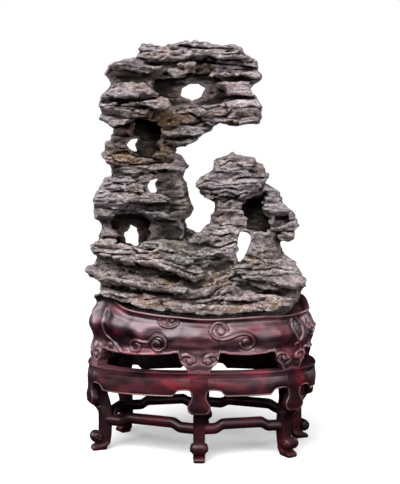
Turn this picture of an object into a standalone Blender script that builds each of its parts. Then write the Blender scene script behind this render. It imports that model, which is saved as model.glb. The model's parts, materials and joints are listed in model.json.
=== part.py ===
"""Scholar's rock standing in a carved cradle on an open six-legged hardwood stand.

Metres, +Z up. The origin is on the floor, under the middle of the whole object. The viewer's side is -Y.
"""
import math

import bmesh
import bpy
import numpy as np
from mathutils import Vector
from mathutils.bvhtree import BVHTree

# ---------------------------------------------------------------- driving dimensions
GAP = 0.0003                    # between two pieces that touch
MM = 0.001

# Lower stand. Its plan is a superellipse; every radial size below is measured from it, outward positive.
STAND_X = 0.003                 # middle of the stand
PLAN_HALF_X = 0.170
PLAN_HALF_Y = 0.106
PLAN_POWER = 2.4
FRAME_TOP = 0.130               # top of the ring
RAIL_HEIGHT = 0.008
RAIL_WIDTH = 0.020
APRON_THICK = 0.009
APRON_BULGE = 0.0018
APRON_LOW = 0.0955              # lower edge over most of the span
APRON_END = 0.1030              # lower edge beside a leg
APRON_STEP = (0.016, 0.026)     # where the lower edge drops, from the leg
APRON_ROUNDING = 0.003
RAIL_BULGE = 0.0012
LEG_ANGLES = (-167.0, -92.0, -30.0, 13.0, 88.0, 150.0)   # degrees round the plan, from +X
SHOULDER_HALF = 0.0125          # half width of a leg where it passes between two aprons
SHAFT_HALF = 0.0085
SHAFT_OFFSET = -0.0215          # middle of the shaft
FOOT_ROLL_RADIUS = 0.0088
FOOT_ROLL_HALF = 0.0133
FOOT_ROLL_OFFSET = -0.0075
FOOT_ROLL_Z = 0.0195
STRETCHER_RADIUS = 0.0080
STRETCHER_LOW = 0.0440
STRETCHER_RISE = 0.0060
# A stretcher's path between two legs: share of the way, and share of the rise.
STRETCHER_PATH = ((0.0, 0.0), (0.19, 0.0), (0.28, 1.0), (0.72, 1.0), (0.81, 0.0), (1.0, 0.0))

# Cradle.
CRADLE_BASE = FRAME_TOP + GAP   # its feet stand on the ring
CRADLE_UNDERSIDE = 0.154
CRADLE_FOOT_TOP_HALF = 0.026
CRADLE_FOOT_HALF = 0.018
CRADLE_FOOT_THICK = 0.017
RIM_WIDTH = 0.0055
RIM_WALL = 0.004                # the rim's inner wall drops RIM_DROP over this width
RIM_DROP = 0.012
SEAT_CLEARANCE = 0.0018         # between the stone and its carved basin
CEILING_SPREAD = 0.006          # the basin stays clear of the stone this far round each point
BASIN_RINGS = (0.25, 0.50, 0.72, 0.88, 1.00)
RIM_ROUNDING = 0.002
FOOT_TAPER = 0.003
RIM_REACH = 0.021               # how far in from the plan the stone stays clear of the rim
RIM_CLEARANCE = 0.002           # and how far above it the stone passes over

# Stone. Its face is laid out on the plane y = 0 as seen from EYE, and its sides follow those sight lines.
EYE = Vector((0.0055, -1.395, 0.400))
FACE_SHIFT_X = 5.5              # millimetres added to every x of the drawn face
FACE_SHIFT_Z = 6.0              # and to every z
ROCK_CELL = 0.0048              # edge of a grid cell that the stone's surface is read on
ROCK_TRIANGLES = 4500
FACE_STEP = 0.002               # step of the tables that hold an outline's distance over the face
FACE_MARGIN = 0.05
ROCK_LOW = (-0.190, -0.112, 0.150)
ROCK_HIGH = (0.176, 0.112, 0.622)
CORE_WANDER = 0.012             # how far the core's middle wanders towards and away from the viewer
CORE_WANDER_LENGTH = 0.13
SEAT_FLOOR = 0.168              # lowest point of the stone's underside
SEAT_HALF = 0.058               # half depth of its keel, inside the lip
KEEL_FADE = 0.012               # the layers fade out this close to the keel
LEDGE_BACK = 0.020              # how far behind the middle a ledge runs
EDGE_ROUNDING = 0.044           # how far in from the outline the stone reaches its full depth
LUMP_POWER = 3.0                # how boxy the lumps are, and the hollows
HOLLOW_POWER = 2.2
LUMP_ROOT = 12.0                # how far past the middle a lump is rooted, mm
HOLE_FLARE = 0.10               # how much a hole widens towards either face, past its straight middle
HOLE_STRAIGHT = 0.010
JOIN_BLEND = 0.003              # how softly lumps and ledges join, cuts are made, and the seat is trimmed
CUT_BLEND = 0.002
SEAT_BLEND = 0.004
KEEL_RISE = 0.060               # how much the keel rises at KEEL_REACH from the middle
KEEL_REACH = 0.160
KEEL_CLEARANCE = 0.0015
# Layers: their length and height, and how far they stand out in front and behind.
BED_LENGTH = 0.060
BED_HEIGHT = 0.0120
BED_RELIEF = (0.0036, 0.0078)
BED_SHARPNESS = 2.6
LOBE_LENGTH = 0.026
LOBE_HEIGHT = 0.020
LOBE_RELIEF = (0.0030, 0.0055)
LAYER_WAVE = 0.006
LAYER_WAVE_LENGTH = 0.11
LAYER_WAVE_HEIGHT = 0.20
# The layers of the lower left dip to the right.
DIP = 0.22
DIP_TOP = 0.33
DIP_FADE_Z = 0.06
DIP_RIGHT = 0.04
DIP_FADE_X = 0.05
DIP_PIVOT = -0.08

# Outline of the stone's face, clockwise from the cap's left shoulder: x and z in millimetres.
OUTLINE = (
    (-98, 587), (-91, 595), (-80, 595), (-60, 592), (-50, 595), (-30, 598), (-25, 601), (-20, 597),
    (-12, 603), (-6, 598), (4, 598), (18, 594), (28, 593), (45, 596), (57, 588), (60, 581), (78, 570),
    (82, 563), (82, 554), (87, 550), (87, 541), (80, 537), (70, 530), (74, 522), (81, 518), (82, 512),
    (88, 504), (86, 491), (88, 486), (84, 477), (66, 478), (51, 473), (33, 477), (25, 478), (15, 474),
    (12, 468), (0, 463), (-5, 455), (-17, 449), (-26, 444), (-41, 443), (-41, 435), (-33, 432), (-20, 415),
    (-28, 406), (-30, 398), (-24, 388), (-21, 370), (-14, 351), (-18, 342), (-27, 332), (-24, 323),
    (-14, 319), (-6, 316), (0, 322), (10, 331), (11, 342), (17, 348), (17, 361), (5, 365), (-6, 373),
    (-5, 378), (-12, 382), (-11, 392), (-3, 401), (14, 410), (15, 422), (18, 426), (27, 428), (43, 438),
    (49, 433), (60, 430), (79, 429), (80, 421), (90, 418), (94, 407), (99, 404), (94, 391), (113, 378),
    (116, 372), (120, 358), (137, 345), (142, 330), (145, 326), (137, 318), (139, 312), (137, 305),
    (128, 301), (118, 302), (115, 299), (120, 286), (139, 272), (141, 265), (151, 249), (155, 244),
    (155, 235), (150, 229), (145, 219), (144, 211), (138, 206), (131, 195), (100, 170), (0, 150),
    (-110, 170), (-150, 205), (-154, 219), (-158, 230), (-155, 240), (-166, 248), (-172, 249), (-179, 259),
    (-177, 264), (-165, 266), (-160, 278), (-163, 281), (-171, 291), (-171, 297), (-158, 305), (-157, 312),
    (-153, 326), (-165, 338), (-165, 350), (-166, 366), (-157, 381), (-150, 398), (-138, 401), (-140, 414),
    (-154, 428), (-154, 435), (-149, 439), (-150, 448), (-139, 456), (-134, 470), (-148, 481), (-160, 484),
    (-153, 492), (-157, 507), (-152, 521), (-140, 531), (-139, 539), (-147, 550), (-140, 564), (-124, 572),
    (-101, 575), (-95, 584),
)
# Holes right through the stone, drawn on the same face.
HOLES = (
    ((-33, 520), (-31, 530), (-20, 536), (-8, 536), (1, 530), (-4, 518), (-17, 513)),
    ((-114, 447), (-109, 453), (-99, 455), (-104, 446), (-100, 436), (-110, 441)),
    ((-84, 384), (-79, 393), (-69, 396), (-74, 388), (-70, 376), (-80, 376)),
    ((-118, 311), (-118, 315), (-110, 320), (-109, 326), (-100, 321), (-98, 300), (-101, 296), (-116, 302)),
    ((56, 316), (66, 315), (71, 309), (70, 300), (62, 280), (54, 272), (49, 281), (54, 291), (51, 298)),
)
# Half depth of the stone's core, by height.
CORE_DEPTH = (
    (150, 74), (230, 72), (290, 56), (340, 44), (420, 38), (460, 38), (500, 46), (560, 48), (610, 34),
)
# Masses that the ledges lie on: x, z, half width, half height, y of the face, dip to the right in degrees.
FRONT_LUMPS = (
    (-20, 583, 85, 14, -50, 0), (-110, 560, 38, 15, -56, 0), (-40, 560, 50, 19, -60, 0),
    (45, 562, 42, 13, -54, 0), (-105, 522, 50, 13, -66, 0), (-120, 487, 38, 12, -56, 6),
    (45, 528, 38, 13, -50, 0), (35, 500, 52, 14, -56, 0), (42, 485, 45, 9, -52, 0),
    (-30, 465, 40, 8, -40, -8), (-125, 462, 16, 8, -40, 0), (-110, 425, 42, 12, -47, 0),
    (-80, 410, 55, 8, -50, 0), (-30, 415, 12, 12, -14, 0), (-125, 365, 42, 32, -58, 0),
    (-45, 365, 26, 50, -26, 0), (-145, 312, 14, 18, -42, 0), (-80, 277, 92, 15, -74, 14),
    (-110, 238, 60, 16, -76, 8), (-170, 256, 12, 8, -20, 0), (95, 254, 56, 21, -76, 4),
    (0, 208, 132, 13, -80, 0), (20, 245, 60, 18, -52, 0), (10, 298, 46, 13, -54, 4),
    (45, 415, 35, 17, -36, 0), (40, 388, 50, 20, -48, 0), (34, 345, 22, 32, -44, 0),
    (20, 318, 35, 12, -48, -6), (105, 350, 25, 30, -42, 0), (125, 320, 18, 18, -42, 0),
    (95, 295, 22, 20, -34, 0), (85, 405, 14, 16, -10, 0),
)
BACK_LUMPS = (
    (-20, 580, 80, 14, 55, 0), (-90, 545, 50, 18, 62, 0), (30, 540, 45, 16, 50, 0),
    (-60, 505, 60, 16, 66, 0), (40, 500, 40, 14, 48, 0), (-100, 470, 40, 14, 50, 0),
    (-60, 440, 50, 14, 48, 0), (-95, 400, 50, 18, 58, 0), (-60, 370, 40, 16, 45, 0),
    (-110, 335, 45, 20, 62, 0), (-120, 290, 45, 16, 72, 8), (-60, 285, 50, 14, 66, 0),
    (-40, 250, 100, 18, 84, 6), (70, 260, 65, 18, 80, 0), (20, 290, 50, 14, 64, 0),
    (95, 300, 30, 22, 48, 0), (40, 340, 30, 22, 44, 0), (60, 390, 45, 18, 46, 0), (105, 350, 22, 18, 40, 0),
    (0, 215, 130, 14, 84, 0),
)
# Hollows cut into the stone: x, z, half width, half height, y of its middle, half depth.
HOLLOWS = (
    (25, 268, 28, 28, -104, 46), (-156, 283, 9, 4, -30, 60), (102, 218, 30, 7, -92, 32),
    (-70, 218, 32, 7, -97, 24), (-40, 560, 35, 8, 76, 30), (60, 520, 25, 7, 70, 30),
    (-110, 518, 30, 6, 82, 32), (-30, 470, 35, 7, 66, 30), (-90, 423, 35, 6, 72, 30),
    (-70, 385, 22, 9, 66, 34), (-100, 312, 30, 12, 80, 42), (10, 265, 40, 9, 92, 34),
    (-90, 270, 45, 6, 96, 30), (80, 283, 30, 8, 86, 34), (30, 365, 30, 7, 62, 26),
    (90, 330, 16, 22, 66, 26),
)
# Ledges drawn on the face: y of the front, how round its edges are, outline.
LEDGES = (
    # The cap: top plate, second layer, left lobe, tongue.
    (-54, 5, ((-100, 589), (-80, 591), (-60, 595), (-34, 594), (0, 589), (24, 588), (60, 585), (60, 612),
              (-100, 612))),
    (-65, 5, ((-84, 583), (-55, 586), (0, 587), (28, 586), (32, 580), (60, 580), (72, 572), (22, 572),
              (3, 576), (-20, 571), (-45, 566), (-80, 568), (-96, 576))),
    (-70, 9, ((-148, 544), (-148, 557), (-140, 568), (-120, 576), (-100, 577), (-75, 566), (-74, 552),
              (-100, 550), (-118, 555), (-138, 556), (-142, 544))),
    (-71, 6, ((-80, 564), (-54, 565), (-24, 569), (-14, 560), (-13, 551), (-25, 545), (-42, 544),
              (-53, 552), (-78, 553))),
    # Its right side: shelf, nodule, two blocks.
    (-66, 4, ((-8, 551), (10, 556), (55, 554), (87, 557), (89, 545), (76, 543), (54, 549), (20, 547),
              (-6, 547))),
    (-60, 5, ((56, 572), (80, 572), (84, 558), (66, 556), (56, 562))),
    (-62, 6, ((20, 538), (40, 541), (70, 540), (70, 529), (86, 519), (60, 517), (34, 519), (28, 530))),
    (-70, 8, ((28, 509), (48, 516), (84, 515), (90, 504), (87, 492), (90, 486), (82, 477), (48, 474),
              (24, 480), (38, 492), (38, 502))),
    # Its left side: broad plate, the lip under it, the pointed block.
    (-80, 5, ((-158, 504), (-155, 520), (-138, 532), (-118, 538), (-94, 540), (-76, 533), (-66, 520),
              (-96, 515), (-136, 514))),
    (-86, 4, ((-138, 511), (-96, 511), (-66, 520), (-52, 519), (-50, 510), (-58, 501), (-72, 501),
              (-86, 507), (-136, 507))),
    (-77, 6, ((-162, 484), (-150, 498), (-110, 499), (-82, 497), (-80, 486), (-96, 485), (-116, 477),
              (-134, 472), (-146, 479))),
    (-51, 6, ((-138, 461), (-130, 470), (-108, 470), (-106, 459), (-128, 457))),
    # Thin slabs under the cap.
    (-54, 4, ((-60, 463), (-44, 468), (-4, 474), (6, 462), (-12, 459), (-44, 459))),
    (-48, 4, ((-69, 448), (-50, 455), (-14, 456), (-8, 449), (-32, 445), (-60, 445))),
    # The column: left mass, bright ledge, drooping ledge, cave's post.
    (-71, 11, ((-167, 350), (-166, 370), (-157, 385), (-140, 396), (-104, 396), (-86, 386), (-86, 372),
               (-112, 362), (-122, 350), (-132, 338), (-150, 330), (-164, 336))),
    (-78, 5, ((-116, 362), (-100, 367), (-84, 376), (-60, 374), (-49, 366), (-50, 359), (-76, 358),
              (-96, 361))),
    (-74, 5, ((-126, 344), (-112, 353), (-88, 351), (-60, 346), (-49, 340), (-52, 334), (-76, 333),
              (-98, 341))),
    (-48, 7, ((-156, 304), (-154, 326), (-144, 332), (-134, 330), (-132, 306))),
    # The tower: peak, right arm, knob, front slab.
    (-56, 8, ((-14, 385), (-10, 398), (12, 408), (14, 424), (30, 427), (42, 438), (80, 428), (70, 404),
              (88, 384), (56, 366), (30, 372), (6, 366), (-10, 376))),
    (-54, 8, ((90, 384), (112, 378), (122, 358), (144, 332), (140, 318), (118, 320), (104, 322), (98, 336),
              (92, 356))),
    (-48, 7, ((112, 316), (126, 320), (140, 312), (136, 302), (116, 302))),
    (-58, 5, ((-32, 308), (-10, 320), (16, 322), (50, 318), (56, 304), (30, 300), (8, 296), (-20, 298))),
    # The base: sweeping slab, left tip, low plates, right mass.
    (-89, 6, ((-172, 297), (-155, 293), (-125, 294), (-102, 297), (-80, 301), (-64, 297), (-48, 289),
              (-35, 278), (-20, 270), (-5, 262), (3, 252), (2, 242), (-6, 236), (-20, 239), (-35, 250),
              (-50, 257), (-73, 265), (-96, 266), (-125, 271), (-142, 279), (-163, 287))),
    (-30, 5, ((-180, 258), (-166, 268), (-150, 264), (-150, 250), (-170, 248))),
    (-86, 5, ((-158, 243), (-128, 244), (-92, 240), (-60, 238), (-24, 232), (-30, 222), (-62, 220),
              (-96, 224), (-130, 230))),
    (-84, 8, ((38, 262), (60, 272), (84, 276), (120, 274), (150, 250), (156, 238), (140, 230), (96, 240),
              (60, 246))),
    (-86, 5, ((10, 216), (30, 222), (70, 224), (110, 220), (126, 216), (90, 208), (30, 204))),
    # The lip all along its lower edge.
    (-90, 4, ((-158, 232), (-128, 224), (-96, 214), (-40, 210), (30, 206), (96, 209), (132, 214),
              (136, 180), (-150, 180))),
)
# Recesses cut back from the face: y of the floor, how round its edges are, outline.
RECESSES = (
    # The cap's long slot, the cleft under the left lobe, the pit, the deep bay round the big hole.
    (-30, 3, ((-98, 588), (-80, 591), (-60, 594), (-34, 593), (-36, 587), (-60, 585), (-82, 582),
              (-96, 578))),
    (-50, 3, ((-140, 556), (-118, 555), (-96, 550), (-72, 542), (-54, 548), (-42, 543), (-74, 537),
              (-124, 538), (-140, 536))),
    (-36, 4, ((-17, 568), (-3, 572), (10, 568), (12, 559), (5, 552), (-8, 552), (-15, 559))),
    (-22, 7, ((-78, 538), (-45, 543), (-20, 548), (20, 546), (30, 541), (18, 535), (28, 528), (33, 518),
              (26, 508), (5, 503), (-15, 502), (-24, 496), (-42, 493), (-52, 500), (-50, 514), (-64, 521),
              (-72, 530))),
    # Bands under the left plate and the pointed block, and the bay beside the second hole.
    (-60, 3, ((-152, 507), (-100, 508), (-84, 505), (-72, 499), (-84, 497), (-150, 499))),
    (-46, 5, ((-80, 497), (-52, 500), (-34, 492), (-30, 484), (-44, 478), (-80, 484))),
    (-8, 7, ((-106, 470), (-96, 482), (-80, 484), (-66, 476), (-60, 462), (-68, 448), (-62, 438),
             (-76, 430), (-96, 430), (-104, 446), (-96, 457), (-106, 458))),
    (-26, 5, ((-96, 446), (-62, 445), (-34, 444), (-38, 432), (-28, 430), (-60, 424), (-92, 430))),
    # The column: dark wall right of the third hole, slot under the bright ledge, the lower left cave.
    (-32, 5, ((-74, 402), (-60, 405), (-34, 405), (-24, 390), (-20, 370), (-30, 352), (-50, 346),
              (-48, 366), (-64, 375), (-70, 388))),
    (-48, 3, ((-118, 362), (-96, 361), (-76, 358), (-48, 360), (-46, 353), (-84, 352), (-114, 354))),
    (-4, 8, ((-138, 328), (-130, 340), (-110, 343), (-96, 340), (-84, 332), (-80, 316), (-90, 298),
             (-102, 294), (-114, 297), (-130, 300), (-132, 314))),
    (-30, 6, ((-94, 332), (-60, 333), (-34, 330), (-30, 312), (-40, 303), (-64, 305), (-92, 298))),
    (-8, 5, ((-32, 330), (-20, 330), (-10, 316), (-18, 306), (-30, 308))),
    # The tower's deep cave and two pits.
    (2, 7, ((54, 356), (66, 366), (78, 371), (88, 364), (92, 348), (98, 326), (96, 314), (84, 316),
            (62, 320), (64, 335), (56, 348))),
    (-30, 4, ((84, 378), (96, 380), (96, 370), (86, 366))),
    (-38, 4, ((104, 324), (112, 336), (126, 340), (126, 332), (114, 322))),
    # The base: hollow under the sweeping slab, smooth concave middle, clefts at both lower corners.
    (-66, 4, ((-162, 279), (-140, 277), (-125, 270), (-96, 265), (-73, 264), (-50, 256), (-36, 249),
              (-40, 240), (-60, 249), (-80, 254), (-120, 258), (-146, 263))),
    (-76, 3, ((-92, 241), (-60, 240), (-20, 236), (10, 240), (34, 240), (60, 232), (40, 228), (0, 232),
              (-50, 234))),
    (-68, 4, ((40, 246), (68, 236), (86, 229), (130, 232), (146, 222), (120, 222), (84, 224), (56, 234))),
)
# Height of the stone's lower front edge, where it dips behind the cradle's rim, by x.
LOWER_EDGE = (
    (-170, 250), (-132, 238), (-87, 219), (-40, 208), (0, 202), (47, 208), (94, 209), (123, 217), (160, 236),
)
# Height of the cradle's rim, by degrees round the plan.
RIM_HEIGHT = (
    (-180, 228), (-168, 231), (-157, 238), (-143, 219), (-128, 212), (-108, 208), (-90, 205), (-66, 206),
    (-45, 208), (-30, 207), (-20, 209), (0, 214), (12, 224), (28, 219), (50, 208), (75, 200), (95, 205),
    (120, 200), (140, 214), (158, 232), (172, 226), (180, 228),
)
# The cradle's side, from just under its rim down: share of the height, and offset from the plan in mm.
CRADLE_SIDE = ((0.10, -11.5), (0.28, -7.5), (0.52, -2.0), (0.72, -3.5), (0.90, -6.5))
RIM_OFFSET = -0.0085
CRADLE_EDGE_OFFSET = -0.004

WOOD = ("hardwood", (0.045, 0.008, 0.009, 1.0), 0.28, 0.0)
STONE = ("stone", (0.105, 0.090, 0.088, 1.0), 0.72, 0.0)


# ---------------------------------------------------------------- scene helpers
def clear_scene():
    for old in list(bpy.data.objects):
        bpy.data.objects.remove(old, do_unlink=True)


def make_material(spec):
    name, colour, roughness, metallic = spec
    material = bpy.data.materials.new(name)
    material.use_nodes = True
    shader = material.node_tree.nodes["Principled BSDF"]
    shader.inputs["Base Color"].default_value = colour
    shader.inputs["Roughness"].default_value = roughness
    shader.inputs["Metallic"].default_value = metallic
    return material


def add_object(name, vertices, faces, material):
    mesh = bpy.data.meshes.new(name)
    mesh.from_pydata([tuple(v) for v in vertices], [], [tuple(f) for f in faces])
    mesh.update()
    obj = bpy.data.objects.new(name, mesh)
    bpy.context.collection.objects.link(obj)
    mesh.materials.append(material)
    mesh.shade_smooth()
    mesh.set_sharp_from_angle(angle=math.radians(40))
    return obj


def skin(rings):
    """Closed faces over a list of equal rings of points, with both end rings filled."""
    count = len(rings[0])
    vertices = [p for ring in rings for p in ring]
    faces = [tuple(range(count))[::-1]]
    for level in range(len(rings) - 1):
        low, high = level * count, (level + 1) * count
        for i in range(count):
            j = (i + 1) % count
            faces.append((low + i, low + j, high + j, high + i))
    last = (len(rings) - 1) * count
    faces.append(tuple(last + i for i in range(count)))
    return vertices, faces


def point_out(obj):
    """Turn every face of a closed mesh outward."""
    work = bmesh.new()
    work.from_mesh(obj.data)
    bmesh.ops.recalc_face_normals(work, faces=work.faces)
    if work.calc_volume(signed=True) < 0.0:
        bmesh.ops.reverse_faces(work, faces=work.faces)
    work.to_mesh(obj.data)
    work.free()


# ---------------------------------------------------------------- plan of the stand
def plan_point(angle):
    """Point of the stand's plan at an angle in radians, about the stand's middle."""
    cos, sin = math.cos(angle), math.sin(angle)
    reach = (abs(cos) / PLAN_HALF_X) ** PLAN_POWER + (abs(sin) / PLAN_HALF_Y) ** PLAN_POWER
    return Vector((cos, sin)) * reach ** (-1.0 / PLAN_POWER)


def plan_normal(angle):
    p = plan_point(angle)
    nx = math.copysign(abs(p.x) ** (PLAN_POWER - 1.0) / PLAN_HALF_X ** PLAN_POWER, p.x)
    ny = math.copysign(abs(p.y) ** (PLAN_POWER - 1.0) / PLAN_HALF_Y ** PLAN_POWER, p.y)
    return Vector((nx, ny)).normalized()


def plan_offset(angle, offset, z):
    p = plan_point(angle) + plan_normal(angle) * offset
    return Vector((p.x + STAND_X, p.y, z))


def angle_at_distance(start, distance):
    """Angle of the plan point a given length along the plan from a start angle."""
    step = math.radians(0.1) * (1.0 if distance > 0 else -1.0)
    angle, left = start, abs(distance)
    here = plan_point(angle)
    while left > 0.0:
        there = plan_point(angle + step)
        left -= (there - here).length
        angle, here = angle + step, there
    return angle


def plan_stations(start, end, count):
    """Angles evenly spaced along the plan from one angle to a larger one."""
    fine = np.linspace(start, end, 400)
    points = np.array([plan_point(a) for a in fine])
    length = np.concatenate([[0.0], np.cumsum(np.linalg.norm(np.diff(points, axis=0), axis=1))])
    return [float(np.interp(s, length, fine)) for s in np.linspace(0.0, length[-1], count)]


class LegFrame:
    """A leg's own axes: outward normal, tangent and height, from its point on the plan."""

    def __init__(self, index):
        self.angle = math.radians(LEG_ANGLES[index % len(LEG_ANGLES)])
        if index >= len(LEG_ANGLES):
            self.angle += 2.0 * math.pi
        base = plan_point(self.angle)
        normal = plan_normal(self.angle)
        self.base = Vector((base.x + STAND_X, base.y, 0.0))
        self.normal = Vector((normal.x, normal.y, 0.0))
        self.tangent = Vector((-normal.y, normal.x, 0.0))

    def at(self, offset, side, z):
        return self.base + self.normal * offset + self.tangent * side + Vector((0.0, 0.0, z))

    def side_of(self, point):
        return (point - self.base).dot(self.tangent)


# ---------------------------------------------------------------- lower stand
# A leg's sections, top down: z, outer offset, inner offset, half width in front, half width behind (mm).
LEG_SECTIONS = (
    (121.7, 0.0, -22.0, 12.5, 12.5), (103.0, 2.2, -23.0, 12.5, 11.0), (94.0, 2.6, -23.5, 11.0, 10.0),
    (84.0, 3.0, -24.5, 16.5, 8.5), (76.0, 2.6, -27.0, 15.5, 8.5), (70.0, 1.0, -28.5, 9.0, 8.5),
    (65.0, -6.0, -29.5, 8.5, 8.5), (55.0, -12.5, -30.0, 8.5, 8.5), (32.0, -13.0, -30.0, 8.5, 8.5),
    (14.0, -11.0, -28.5, 7.5, 7.5), (8.5, -8.0, -27.0, 7.5, 7.5), (6.0, -2.0, -24.0, 8.0, 8.0),
    (0.0, -1.0, -22.0, 7.5, 7.5),
)
CORNER = 2.5                     # cut corner of a leg's section, mm
LAPPET_DEPTH = 9.0               # how deep the wide front part of a leg is, mm


def leg_section(frame, z, outer, inner, front, back):
    inset = min(CORNER, front * 0.3)
    middle = max(outer - LAPPET_DEPTH, inner + CORNER)
    half = [(outer, front - inset), (outer - inset, front), (middle, back), (inner, back - inset)]
    loop = half + [(offset, -side) for offset, side in reversed(half)]
    return [frame.at(offset * MM, side * MM, z * MM) for offset, side in loop]


def make_leg(index, material):
    frame = LegFrame(index)
    rings = [leg_section(frame, *section) for section in LEG_SECTIONS]
    vertices, faces = skin(rings)
    leg = add_object(f"leg_{index + 1}", vertices, faces, material)
    point_out(leg)
    add_foot_roll(leg, frame, material)
    return leg


def add_foot_roll(leg, frame, material):
    """The scroll at the ankle: a roll lying across the leg, joined to it."""
    sides = 12
    rings = []
    for side in (-FOOT_ROLL_HALF, FOOT_ROLL_HALF):
        ring = []
        for i in range(sides):
            turn = 2.0 * math.pi * (i + 0.5) / sides
            offset = FOOT_ROLL_OFFSET + FOOT_ROLL_RADIUS * math.cos(turn)
            ring.append(frame.at(offset, side, FOOT_ROLL_Z + FOOT_ROLL_RADIUS * math.sin(turn)))
        rings.append(ring)
    vertices, faces = skin(rings)
    roll = add_object(f"{leg.name}_roll", vertices, faces, material)
    point_out(roll)
    union = leg.modifiers.new("scroll", "BOOLEAN")
    union.operation = "UNION"
    union.object = roll
    roll.hide_render = True
    roll.display_type = "WIRE"


def apron_low_edge(distance, length):
    """Height of an apron's lower edge at a distance along it: high beside the legs, low between."""
    near = min(distance, length - distance)
    share = min(max((near - APRON_STEP[0]) / (APRON_STEP[1] - APRON_STEP[0]), 0.0), 1.0)
    share = share * share * (3.0 - 2.0 * share)
    return APRON_END + (APRON_LOW - APRON_END) * share


def make_apron(index, material):
    left, right = LegFrame(index), LegFrame(index + 1)
    top = FRAME_TOP - RAIL_HEIGHT - GAP
    start = angle_at_distance(left.angle, SHOULDER_HALF)
    end = angle_at_distance(right.angle, -SHOULDER_HALF)
    angles = plan_stations(start, end, 11)
    points = np.array([plan_point(a) for a in angles])
    run = np.concatenate([[0.0], np.cumsum(np.linalg.norm(np.diff(points, axis=0), axis=1))])
    rings = []
    for station, angle in enumerate(angles):
        low = apron_low_edge(run[station], run[-1])
        middle = 0.5 * (top + low)
        rounded = low + APRON_ROUNDING
        profile = ((0.0, top), (APRON_BULGE, middle), (APRON_BULGE / 3.0, rounded),
                   (-APRON_ROUNDING / 3.0, low), (-APRON_THICK, low), (-APRON_THICK, top))
        ring = [plan_offset(angle, offset, z) for offset, z in profile]
        if station == 0:
            ring = [cut_to_leg(p, left, 1.0, left.tangent, SHOULDER_HALF) for p in ring]
        if station == len(angles) - 1:
            ring = [cut_to_leg(p, right, -1.0, right.tangent, SHOULDER_HALF) for p in ring]
        rings.append(ring)
    vertices, faces = skin(rings)
    apron = add_object(f"apron_{index + 1}", vertices, faces, material)
    point_out(apron)
    return apron


def cut_to_leg(point, frame, way, along, half_width):
    """Slide a point along a direction until it is a gap away from a leg's side."""
    wanted = way * (half_width + GAP)
    rate = along.dot(frame.tangent)
    return point + along * ((wanted - frame.side_of(point)) / rate)


def make_rail(index, material):
    start, end = LegFrame(index).angle, LegFrame(index + 1).angle
    start = start + GAP / (2.0 * plan_point(start).length)
    end = end - GAP / (2.0 * plan_point(end).length)
    low, high = FRAME_TOP - RAIL_HEIGHT, FRAME_TOP
    middle = 0.5 * (low + high)
    profile = ((0.0, low), (RAIL_BULGE, middle), (0.0, high), (-RAIL_WIDTH, high), (-RAIL_WIDTH, low))
    rings = [[plan_offset(a, offset, z) for offset, z in profile] for a in plan_stations(start, end, 9)]
    vertices, faces = skin(rings)
    rail = add_object(f"frame_rail_{index + 1}", vertices, faces, material)
    point_out(rail)
    return rail


def make_stretcher(index, material):
    left, right = LegFrame(index), LegFrame(index + 1)
    start = left.at(SHAFT_OFFSET, 0.0, STRETCHER_LOW)
    end = right.at(SHAFT_OFFSET, 0.0, STRETCHER_LOW)
    along = (end - start).normalized()
    across = Vector((0.0, 0.0, 1.0)).cross(along)
    sides = 8
    rings = []
    for station, (share, rise) in enumerate(STRETCHER_PATH):
        middle = start.lerp(end, share) + Vector((0.0, 0.0, rise * STRETCHER_RISE))
        ring = []
        for i in range(sides):
            turn = 2.0 * math.pi * (i + 0.5) / sides
            spoke = across * math.cos(turn) + Vector((0.0, 0.0, math.sin(turn)))
            ring.append(middle + spoke * STRETCHER_RADIUS)
        if station == 0:
            ring = [cut_to_leg(p, left, 1.0, along, SHAFT_HALF) for p in ring]
        if station == len(STRETCHER_PATH) - 1:
            ring = [cut_to_leg(p, right, -1.0, along, SHAFT_HALF) for p in ring]
        rings.append(ring)
    vertices, faces = skin(rings)
    rod = add_object(f"stretcher_{index + 1}", vertices, faces, material)
    point_out(rod)
    return rod


# ---------------------------------------------------------------- stone: fields
def lattice_noise(x, y, z, seed):
    """Smooth noise between -1 and 1 on a unit lattice, from an integer hash of each lattice point."""
    ix, iy, iz = (np.floor(v).astype(np.int64) for v in (x, y, z))
    fx, fy, fz = x - ix, y - iy, z - iz
    fx, fy, fz = (f * f * (3.0 - 2.0 * f) for f in (fx, fy, fz))
    total = np.zeros_like(fx)
    for dx in (0, 1):
        for dy in (0, 1):
            for dz in (0, 1):
                key = (ix + dx) * 73856093 ^ (iy + dy) * 19349663 ^ (iz + dz) * 83492791 ^ seed * 2654435761
                key = (key ^ (key >> 13)) * 1274126177 & 0xFFFFFFFF
                value = ((key ^ (key >> 16)) & 0xFFFF) / 32767.5 - 1.0
                weight = (fx if dx else 1 - fx) * (fy if dy else 1 - fy) * (fz if dz else 1 - fz)
                total += weight * value
    return total


def smooth_max(a, b, blend):
    return np.maximum(a, b) + np.maximum(blend - np.abs(a - b), 0.0) ** 2 / (4.0 * blend)


def smooth_min(a, b, blend):
    return -smooth_max(-a, -b, blend)


def polygon_distance(points, u, w):
    """Signed distance from points (u, w) to a closed polygon, positive inside."""
    corners = np.array(points, float) * MM
    corners += np.array((FACE_SHIFT_X, FACE_SHIFT_Z)) * MM
    nearest = np.full(u.shape, 1.0)
    inside = np.zeros(u.shape, bool)
    for (ax, az), (bx, bz) in zip(corners, np.roll(corners, -1, axis=0)):
        ex, ez = bx - ax, bz - az
        share = np.clip(((u - ax) * ex + (w - az) * ez) / (ex * ex + ez * ez), 0.0, 1.0)
        nearest = np.minimum(nearest, np.hypot(u - ax - share * ex, w - az - share * ez))
        if az != bz:
            crosses = ((az > w) != (bz > w)) & (u < ex * (w - az) / ez + ax)
            inside ^= crosses
    return np.where(inside, nearest, -nearest)


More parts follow.
